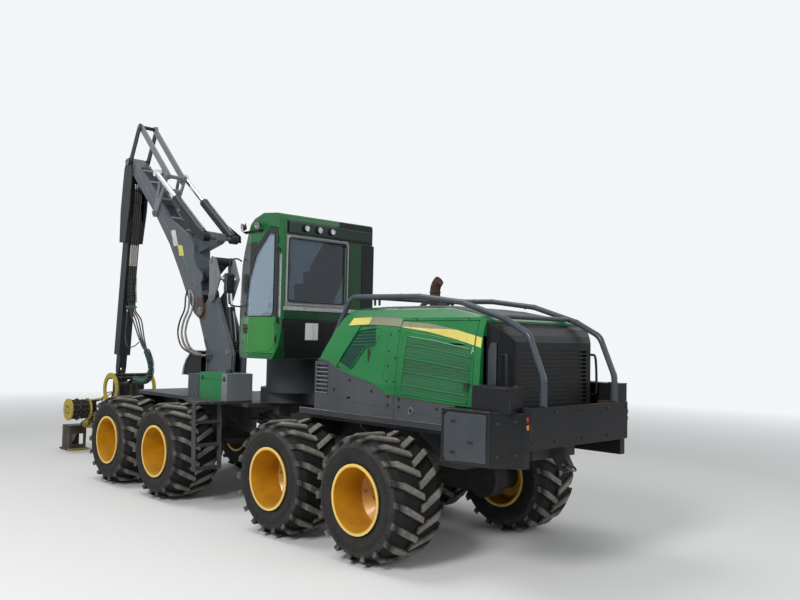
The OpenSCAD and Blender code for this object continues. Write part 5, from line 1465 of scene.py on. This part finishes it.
def buildWiper():
    low = local(onto("cab_glass", at(3.0, 0.0, 2.75), (-1, 0, 0))[0])[0]
    high = local(onto("cab_glass", at(3.0, -0.1, 3.45), (-1, 0, 0))[0])[0]
    arm = pipeAt([(low + 0.02, 0.0, 2.7), (low + 0.022, -0.02, 2.9), (high + 0.02, -0.05, 3.15)], 0.006,
        6)
    blade = pipeAt([(low + 0.009, -0.075, 2.8), (high + 0.009, -0.05, 3.12), (high + 0.009, -0.02, 3.45)],
        0.007, 6)
    pivot = roundAt((low - 0.005, 0.0, 2.7), (low + 0.03, 0.0, 2.7), 0.018, 16, 0.003)
    add("frontWiper", "cab", "rubberBlack", arm, blade, pivot)


# Seat and controls, seen through the glass
seat = {"halfWidth": 0.245, "front": 0.375, "rear": -0.09}


def paddedForm(size, crown, cuts=7):
    # a crowned closed pad round the origin: sides pulled in between the corners, soft edges
    clearSelection()
    bpy.ops.mesh.primitive_cube_add(size=1, location=(0, 0, 0))
    pad = bpy.context.object
    pad.scale = size
    edited(settle(pad), bpy.ops.mesh.subdivide, number_cuts=cuts)
    half = Vector(size) / 2
    for vertex in pad.data.vertices:
        u, v, w = vertex.co.x / half.x, vertex.co.y / half.y, vertex.co.z / half.z
        vertex.co.z += crown * (1 - u * u) * (1 - v * v) * (1 if w > 0 else -0.3) * abs(w)
        vertex.co.x *= 1 - 0.035 * (1 - v * v) * abs(u)
        vertex.co.y *= 1 - 0.035 * (1 - u * u) * abs(v)
        channel = math.exp(-((abs(v) - 0.55) / 0.06) ** 2)
        vertex.co.z -= 0.01 * channel * (1 if w > 0.5 else 0)
    smooth = pad.modifiers.new("soft", "SUBSURF")
    smooth.levels = 2
    smooth.render_levels = 2
    bpy.ops.object.modifier_apply(modifier=smooth.name)
    bpy.ops.object.shade_smooth()
    return pad


def placePad(pad, name, place, lean=0.0):
    choose(pad)
    pad.rotation_euler = (0, lean, 0)
    pad.location = at(*place)
    settle(pad)
    pad.name = name
    return dress(pad, "cab", "seatCloth")


def buildSeat():
    depth = seat["front"] - seat["rear"]
    cushion = placePad(paddedForm((depth, seat["halfWidth"] * 2, 0.12), 0.022), "seatCushion",
        ((seat["front"] + seat["rear"]) / 2, 0.0, 2.372))
    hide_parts("cab_seat")
    placePad(paddedForm((0.56, seat["halfWidth"] * 1.9, 0.105), 0.02), "seatBack", (-0.15, 0.0, 2.7),
        math.radians(-82))
    placePad(paddedForm((0.17, 0.27, 0.085), 0.014, 5), "headRest", (-0.192, 0.0, 3.055),
        math.radians(-82))
    base = boxAt((-0.1, -0.2, 2.01), (0.3, 0.2, 2.06), 0.012)
    fold = boxAt((-0.06, -0.15, 2.055), (0.26, 0.15, 2.28), 0.03)
    tray = boxAt((-0.12, -0.22, 2.275), (0.34, 0.22, 2.318), 0.012)
    posts = [roundAt((-0.185, y, 2.93), (-0.192, y, 3.03), 0.008, 12, 0.001) for y in (-0.06, 0.06)]
    add("seatStand", "cab", "plasticDark", base, fold, tray, *posts)
    for name, side in bothSides:
        rest = boxAt((-0.08, side * 0.335 - 0.045, 2.535), (0.22, side * 0.335 + 0.045, 2.595), 0.018)
        panel = boxAt((0.2, side * 0.345 - 0.065, 2.52), (0.4, side * 0.345 + 0.065, 2.58), 0.015)
        post = boxAt((0.05, side * 0.32 - 0.025, 2.3), (0.12, side * 0.32 + 0.025, 2.545), 0.008)
        stick = roundAt((0.315, side * 0.345, 2.575), (0.33, side * 0.34, 2.66), 0.011, 14, 0.001)
        knob = roundAt((0.33, side * 0.34, 2.645), (0.338, side * 0.337, 2.72), 0.019, 18, 0.007)
        keys = [roundAt((0.235 + i * 0.024, side * (0.31 + j * 0.026), 2.578),
            (0.235 + i * 0.024, side * (0.31 + j * 0.026), 2.586), 0.007, 10, 0.001) for i in range(3)
            for j in range(3)]
        add(f"armConsole_{name}", "cab", "plasticDark", rest, panel, post, stick, knob, *keys)
    screen = boxAt((0.6, -0.4, 2.62), (0.625, -0.16, 2.8), 0.006)
    stalk = pipeAt([(0.615, -0.28, 2.66), (0.66, -0.3, 2.55), (0.7, -0.33, 2.38)], 0.012, 8)
    add("cabScreen", "cab", "plasticDark", screen, stalk)
    mat = plateAt([(-0.5, -0.62), (0.62, -0.55), (0.62, 0.48), (-0.45, 0.48), (-0.5, 0.4)], "z", 2.0055,
        2.013, 0.002)
    add("floorMat", "cab", "rubberBlack", mat)


buildFrontHalf()
buildJointHoses()
buildCabRear()
buildCabSides()
buildMirrors()
buildRoofLamps()
buildWiper()
buildSeat()
print("front half and cab dressed")


# Crane: pin caps, cylinder fittings, pipes, hoses, wraps, patches, guard, fin
crane = {"boomFoot": (2.53, 2.63), "knee": (5.243, 5.439), "hose": 0.014, "thin": 0.01}


craneNodes = ("crane_column", "main_boom", "jib", "jib_extension", "rocker", "tie_links", "link_plates",
    "coupler", "hanger", "head_mount", "luff_barrels", "luff_rods", "lift_barrel", "lift_rod")


def pinCaps(name, x, z, radius):
    # keeper plate with screws over the end of a pin, on whatever piece lies outermost there
    for label, side in bothSides:
        hits = [(fromSide(node, x, z, side)[0], node) for node in craneNodes]
        y, node = max((side * hit.y, node) for hit, node in hits if hit is not None)
        body = body_of(nodes[node])[0]
        caps = [roundAt((x, side * (y - 0.002), z), (x, side * (y + 0.01), z), radius, 32, 0.003),
            roundAt((x, side * (y + 0.006), z), (x, side * (y + 0.018), z), 0.012, 12, 0.002)]
        turns = [2 * math.pi * k / 3 + 0.5 for k in range(3)]
        places = [(at(x + radius * 0.66 * math.cos(t), side * (y + 0.01),
            z + radius * 0.66 * math.sin(t)), (0, side, 0)) for t in turns]
        add(f"pinCap_{name}_{label}", body, "linkGrey", *caps)
        boltsAt(f"pinScrews_{name}_{label}", body, places, min(0.012, radius * 0.17))


def buildPins():
    pins = (("boom", (2.53, 2.63), 0.07), ("knee", (5.243, 5.439), 0.062),
        ("rocker", (4.13, 4.38), 0.045), ("rockerTop", (3.75, 4.98), 0.04),
        ("jibHead", (4.863, 6.04), 0.034), ("liftFoot", (1.72, 2.0), 0.045),
        ("plate", (2.14, 2.87), 0.045), ("plateTop", (2.16, 3.42), 0.035))
    for name, (x, z), radius in pins:
        pinCaps(name, x, z, radius)


def alongBoom(share, y, lift):
    # a place on the boom's upper face, by its share of the way from the foot to the knee
    foot, knee = Vector((crane["boomFoot"][0], 0, crane["boomFoot"][1])), Vector((crane["knee"][0], 0,
        crane["knee"][1]))
    way = (knee - foot).normalized()
    off = Vector((-way.z, 0, way.x))
    middle = foot.lerp(knee, share)
    hit, normal = onto("main_boom", at(middle.x, y, middle.z) + off * 1.5, -off)
    return Vector(local(hit)) + off * lift


def buildBoomPipes():
    for k, y in enumerate((-0.075, -0.045, -0.015, 0.015, 0.045, 0.075)):
        points = [alongBoom(0.3 + i * 0.0325, y, 0.011) for i in range(20)]
        add(f"boomPipe_{k + 1}", "main_boom", "barrelBlack", tubeAlong([at(*p) for p in points], 0.01, 8),
            slot="dark_steel")
    clamps = []
    for share in (0.36, 0.5, 0.64, 0.78, 0.88):
        p = alongBoom(share, 0.0, 0.011)
        clip = boxAt((p.x - 0.022, -0.098, p.z - 0.014), (p.x + 0.022, 0.098, p.z + 0.014), 0.004)
        clamps.append(edited(clip, bpy.ops.transform.rotate, value=math.radians(46), orient_axis="Y",
            center_override=tuple(at(*p))))
    add("boomPipeClamps", "main_boom", "linkGrey", *clamps)
    welds = (((2.9, 3.32), (4.05, 4.42)), ((4.25, 4.6), (4.95, 5.27)))
    beads = [seamOn("main_boom", side, weld, 0.004) for side in (1, -1) for weld in welds]
    add("boomSeams", "main_boom", "linkGrey", *beads)
    sideBolts("boomBolts", "main_boom", "main_boom", [(2.72, 2.95), (2.82, 3.08), (2.66, 3.02),
        (4.0, 4.42), (4.2, 4.52), (4.28, 4.3), (5.1, 5.28), (5.02, 5.36)], 0.013)


def buildPatches():
    patches = (  # places where the photo has stickers: blank here
        ("White", "signWhite", ((3.3, 3.745), (3.45, 3.745)), ((3.42, 4.02), (3.57, 4.02))),
        ("Yellow", "signYellow", ((3.1, 3.56), (3.25, 3.57)), ((3.16, 3.735), (3.32, 3.76))),
    )
    for name, look, lower, upper in patches:
        bits = [stripOn("main_boom", side, lower, upper, 6, 2) for side in (1, -1)]
        add(f"boomPatch{name}", "main_boom", look, *bits, slot="crane_grey")
    bits = []
    for side in (1, -1):
        hit, normal = fromSide("main_boom", 3.0, 3.46, side)
        bits.append(roundAt((3.0, hit.y - side * 0.001, 3.46), (3.0, hit.y + side * 0.002, 3.46), 0.06,
            32, 0.0008))
    add("boomPatchRound", "main_boom", "clampGreen", *bits)


def cylinderGear(name, body, start, end, y, radius, share):
    # steel pipe with its two fittings along a barrel and the gland at its mouth
    start, end = Vector((start[0], y, start[1])), Vector((end[0], y, end[1]))
    way = (end - start).normalized()
    off = Vector((-way.z, 0, way.x))
    mouth = start.lerp(end, share)
    near = start + way * 0.16
    gland = roundAt(tuple(mouth - way * 0.05), tuple(mouth - way * 0.004), radius * 1.1, 36, 0.004)
    ring = ringAt(tuple(mouth - way * 0.075), way, radius * 1.02, 0.006, 36, 8)
    add(f"gland_{name}", body, "linkGrey", gland, ring)
    lift = radius + 0.018
    pipe = pipeAt([near + off * radius * 0.9, near + off * lift + way * 0.02,
        near.lerp(mouth, 0.5) + off * (lift + 0.002), mouth - way * 0.12 + off * lift,
        mouth - way * 0.085 + off * radius * 0.9], 0.009, 8)
    blocks = [roundAt(tuple(near + off * radius * 0.8), tuple(near + off * (radius + 0.012)), 0.02, 6,
        0.002), roundAt(tuple(mouth - way * 0.085 + off * radius * 0.8),
        tuple(mouth - way * 0.085 + off * (radius + 0.012)), 0.02, 6, 0.002)]
    add(f"pipe_{name}", body, "boltSteel", pipe, *blocks)


def buildCylinders():
    for name, y in (("left", 0.26), ("right", -0.26)):
        cylinderGear(f"luff_{name}", "luff_barrels", (2.25, 3.8), (3.917, 5.036), y, 0.058, 0.545)
    cylinderGear("lift", "lift_barrel", (1.72, 2.0), (1.97, 3.14), 0.0, 0.064, 0.6)


def buildJibHoses():
    # four hoses down the rear of the jib, wrapped at their lower end
    crossing = ("jib", "jib_extension", at(5.33, 0, 3.35), at(5.26, 0, 2.78))
    for k, y in enumerate((-0.054, -0.018, 0.018, 0.054)):
        line = hoseAt(f"jibHose_{k + 1}", [(5.17, y, 5.02), (5.15, y, 4.86), (5.19, y, 4.4),
            (5.24, y, 3.9), (5.285, y, 3.4), (5.275, y, 3.05), (5.245, y, 2.8), (5.235, y, 2.7)],
            crane["hose"], crossing)
        fittingAt(f"jibFitting_{k + 1}", "jib", line, crane["hose"])
        sleeve = pipeAt([local(line[i]) for i in range(24, 31)], crane["hose"] + 0.006, 10, 1)
        add(f"jibSleeve_{k + 1}", "jib", "spiralGrey", sleeve)
    wrap = smoothLine([at(*p) for p in ((5.285, 0, 3.3), (5.275, 0, 3.05), (5.248, 0, 2.84))], 10)
    add("jibWrap", crossing, "hoseBlack", tubeAlong(helixAlong(wrap, 0.082, 0.03, 14), 0.009, 6))
    clamp = [boxAt((5.215, -0.09, 2.735), (5.33, 0.09, 2.765), 0.006)]
    add("jibHoseClamp", "jib_extension", "clampGreen", *clamp, slot="hood_green")
    for k, z in enumerate((4.7, 4.15, 3.6)):
        x = 5.19 + (4.4 - z) * 0.115
        clip = boxAt((x - 0.02, -0.078, z - 0.02), (x + 0.085, 0.078, z + 0.012), 0.005)
        add(f"jibClip_{k + 1}", "jib", "craneDark", clip)


def buildHeadHoses():
    # from the clamp the hoses splay, gather, and go in a wrapped bundle to the rotator
    crossing = ("jib_extension", "hanger", at(5.1, 0, 2.6), at(5.2, 0, 1.5))
    offsets = ((-0.054, 0.06, -0.022, 0.0), (-0.018, 0.02, 0.022, 0.0), (0.018, -0.03, 0.0, 0.022),
        (0.054, -0.08, 0.0, -0.022))
    for k, (y, splay, dy, dn) in enumerate(offsets):
        points = [(5.235, y, 2.745), (5.19, y, 2.66), (5.02 + splay * 0.5, y * 1.8, 2.5),
            (4.84 + splay, y * 1.6, 2.2), (4.68 + splay * 0.4, y * 0.8, 2.0), (4.53 + dn, dy, 1.88),
            (4.42 + dn, dy, 1.72), (4.42 + dn, dy, 1.56), (4.53 + dn * 0.6, dy, 1.44),
            (4.74, dy, 1.4 + dn), (5.02, dy, 1.42 + dn), (5.28, dy, 1.34 + dn), (5.46, dy, 1.27 + dn),
            (5.495, dy, 1.26 + dn)]
        line = hoseAt(f"headHose_{k + 1}", points, crane["hose"] - 0.001, crossing)
        fittingAt(f"headFitting_{k + 1}", "hanger", line, crane["hose"], True)
    wrap = smoothLine([at(*p) for p in ((4.6, 0, 1.95), (4.53, 0, 1.88), (4.42, 0, 1.72), (4.42, 0, 1.56),
        (4.53, 0, 1.44), (4.74, 0, 1.4), (5.02, 0, 1.42))], 10)
    add("headWrap", crossing, "spiralGreen", tubeAlong(helixAlong(wrap, 0.052, 0.026, 12), 0.008, 6))
    loop = [(5.225, 0.1, 2.7), (5.15, 0.14, 2.48), (5.13, 0.16, 2.2), (5.06, 0.15, 2.02),
        (4.92, 0.1, 2.02), (4.8, 0.055, 2.1)]
    line = hoseAt("sideLoop", loop, crane["thin"], ("jib_extension", "hanger", at(5.1, 0, 2.6),
        at(5.2, 0, 1.5)))
    fittingAt("sideLoopFitting", "jib_extension", line, crane["thin"])


def buildFootHoses():
    # pale wrapped loops between the column and the boom
    crossing = ("crane_column", "main_boom", at(2.35, 0, 2.05), at(2.62, 0, 2.7))
    for name, side in bothSides:
        for k, y in enumerate((0.215, 0.255, 0.295)):
            reach = 0.05 * k
            points = [(2.12, side * (y - 0.05), 1.94), (2.24, side * y, 1.93),
                (2.46, side * y, 1.97 - reach * 0.2), (2.7 + reach, side * y, 2.06),
                (2.84 + reach, side * y, 2.26), (2.8 + reach, side * y, 2.46),
                (2.71 + reach, side * (y - 0.03), 2.66), (2.74 + reach, side * (y - 0.06), 2.86),
                (2.82 + reach, side * 0.165, 2.98)]
            line = hoseAt(f"footHose_{name}_{k + 1}", points, crane["hose"], crossing, "spiralGrey"
                if k < 2 else "hoseBlack")
            if k < 2:
                add(f"footWrap_{name}_{k + 1}", crossing, "spiralGrey",
                    tubeAlong(helixAlong(line[8:-8], 0.0175, 0.02, 8), 0.0045, 5))
            fittingAt(f"footFitting_{name}_{k + 1}", "crane_column", line, crane["hose"])


def buildKneeHoses():
    crossing = ("main_boom", "jib", at(4.95, 0, 5.28), at(5.16, 0, 5.1))
    for k, y in enumerate((-0.045, -0.015, 0.015, 0.045)):
        points = [(4.84, y, 5.2), (4.9, y, 5.12), (4.98, y, 4.98), (5.06, y, 4.9), (5.13, y, 4.93),
            (5.16, y, 5.02)]
        hoseAt(f"kneeHose_{k + 2}", points, crane["thin"], crossing)


def buildFin():
    # large black wedge plates beside the barrels, on their own bracket
    for name, side in bothSides:
        fin = plateAt([(2.15, 3.745), (2.165, 3.86), (2.55, 4.065), (2.93, 4.32), (2.96, 4.245),
            (2.6, 3.94), (2.32, 3.775)], "y", side * 0.338, side * 0.346, 0.003)
        bits = [fin] + [roundAt((x, side * 0.344, z), (x, side * 0.352, z), 0.013, 16, 0.002) for x,
            z in ((2.25, 3.83), (2.58, 4.03), (2.88, 4.24))]
        add(f"barrelGuard_{name}", "luff_barrels", "cowlBlack", *bits)


def buildGuardHump():
    # pale bent cover over the hoses in front of the column, on two black webs
    spine = ((2.47, 2.01), (2.64, 2.012), (2.8, 1.965), (2.93, 1.86), (3.01, 1.73), (3.04, 1.61))
    outline = list(spine) + [(x - 0.012, z - 0.012) for x, z in spine[::-1]]
    cover = plateAt(outline, "y", -0.15, 0.15, 0.002)
    add("hoseCover", "crane_column", "signWhite", cover)
    webs = [plateAt([(2.47, 1.62), (2.47, 1.992), (2.64, 1.994), (2.79, 1.948), (2.915, 1.845),
        (2.99, 1.722), (3.018, 1.615), (2.9, 1.6)], "y", y, y + 0.01, 0.001) for y in (-0.13, 0.12)]
    add("hoseCoverWebs", "crane_column", "cowlBlack", *webs)


buildPins()
buildBoomPipes()
buildPatches()
buildCylinders()
buildJibHoses()
buildHeadHoses()
buildFootHoses()
buildKneeHoses()
buildFin()
buildGuardHump()
print("crane dressed")


# Head: fittings, short hoses, lines, bolts, roller studs
headWork = {"hose": 0.009, "roller": (6.099, 0.82), "studRings": 6, "studs": 14}


def buildHead():
    ports = []
    for x in (5.62, 5.74, 5.86, 5.98):
        for y in (-0.12, -0.04, 0.04, 0.12):
            hit, normal = fromTop("head_frame", x, y)
            if hit is not None:
                ports.append(roundAt((x, y, hit.z - 0.002), (x, y, hit.z + 0.02), 0.016, 6, 0.002))
                ports.append(roundAt((x, y, hit.z + 0.018), (x, y, hit.z + 0.04), 0.01, 14, 0.001))
    add("valvePorts", "head", "boltSteel", *ports)
    sideBolts("headBolts", "head", "head_frame", [(5.3, 0.22), (5.55, 0.22), (5.8, 0.22), (6.3, 0.22),
        (6.45, 0.22), (5.3, 0.5), (5.8, 0.5), (6.6, 0.52), (6.78, 0.52), (6.6, 0.28), (6.8, 0.28)], 0.012)
    for name, side in bothSides:
        arm = f"feed_arm_{name}"
        rx, rz = headWork["roller"]
        sideBolts(f"rollerBolts_{name}", arm, arm, [(rx + a, rz + b) for a, b in circleOf(8, 0.07)],
            0.012, sides=(side,))
        studs = []
        for ring in range(headWork["studRings"]):
            centre = at(rx, side * (0.45 + ring * 0.052), rz)
            for a, b in circleOf(headWork["studs"], 1.0, 0.5 * (ring % 2)):
                spoke = Vector((a, 0, b))
                hit, _ = onto(arm, centre + spoke * 0.4, -spoke)
                if hit is not None and (hit - centre).length > 0.12:
                    studs.append((hit - spoke * 0.002, spoke))
        clearSelection()
        bpy.ops.mesh.primitive_cone_add(vertices=5, radius1=0.011, radius2=0.005, depth=0.014,
            location=(0, 0, 0.007))
        studs = spreadOver(settle(bpy.context.object), studs, f"rollerStuds_{name}")
        dress(studs, arm, "wornSteel")
    routes = [[(5.6, side * 0.1, 1.16), (5.7, side * 0.2, 1.14), (5.84, side * 0.24, 1.02),
        (5.86, side * 0.2, 0.92), (5.86, side * 0.12, 0.9)] for side in (1, -1)]
    routes.append([(5.64, 0.06, 1.14), (5.78, 0.1, 1.12), (5.94, 0.12, 1.02), (5.98, 0.08, 0.94),
        (5.98, 0.04, 0.9)])
    for k, points in enumerate(routes):
        add(f"headLine_{k + 1}", "head_mount", "hoseBlack", pipeAt(points, headWork["hose"], 8))
    lines = []
    for side in (1, -1):
        lines.append(pipeAt([(5.72, side * 0.05, 0.885), (5.72, side * 0.14, 0.91),
            (5.66, side * 0.2, 0.9), (5.6, side * 0.245, 0.8)], 0.008, 8))
        lines.append(pipeAt([(5.98, side * 0.12, 0.885), (6.1, side * 0.1, 0.92), (6.3, side * 0.08, 0.9),
            (6.46, side * 0.1, 0.8)], 0.008, 8))
    add("headShortHoses", "head", "hoseBlack", *lines)


buildHead()
print("head dressed")
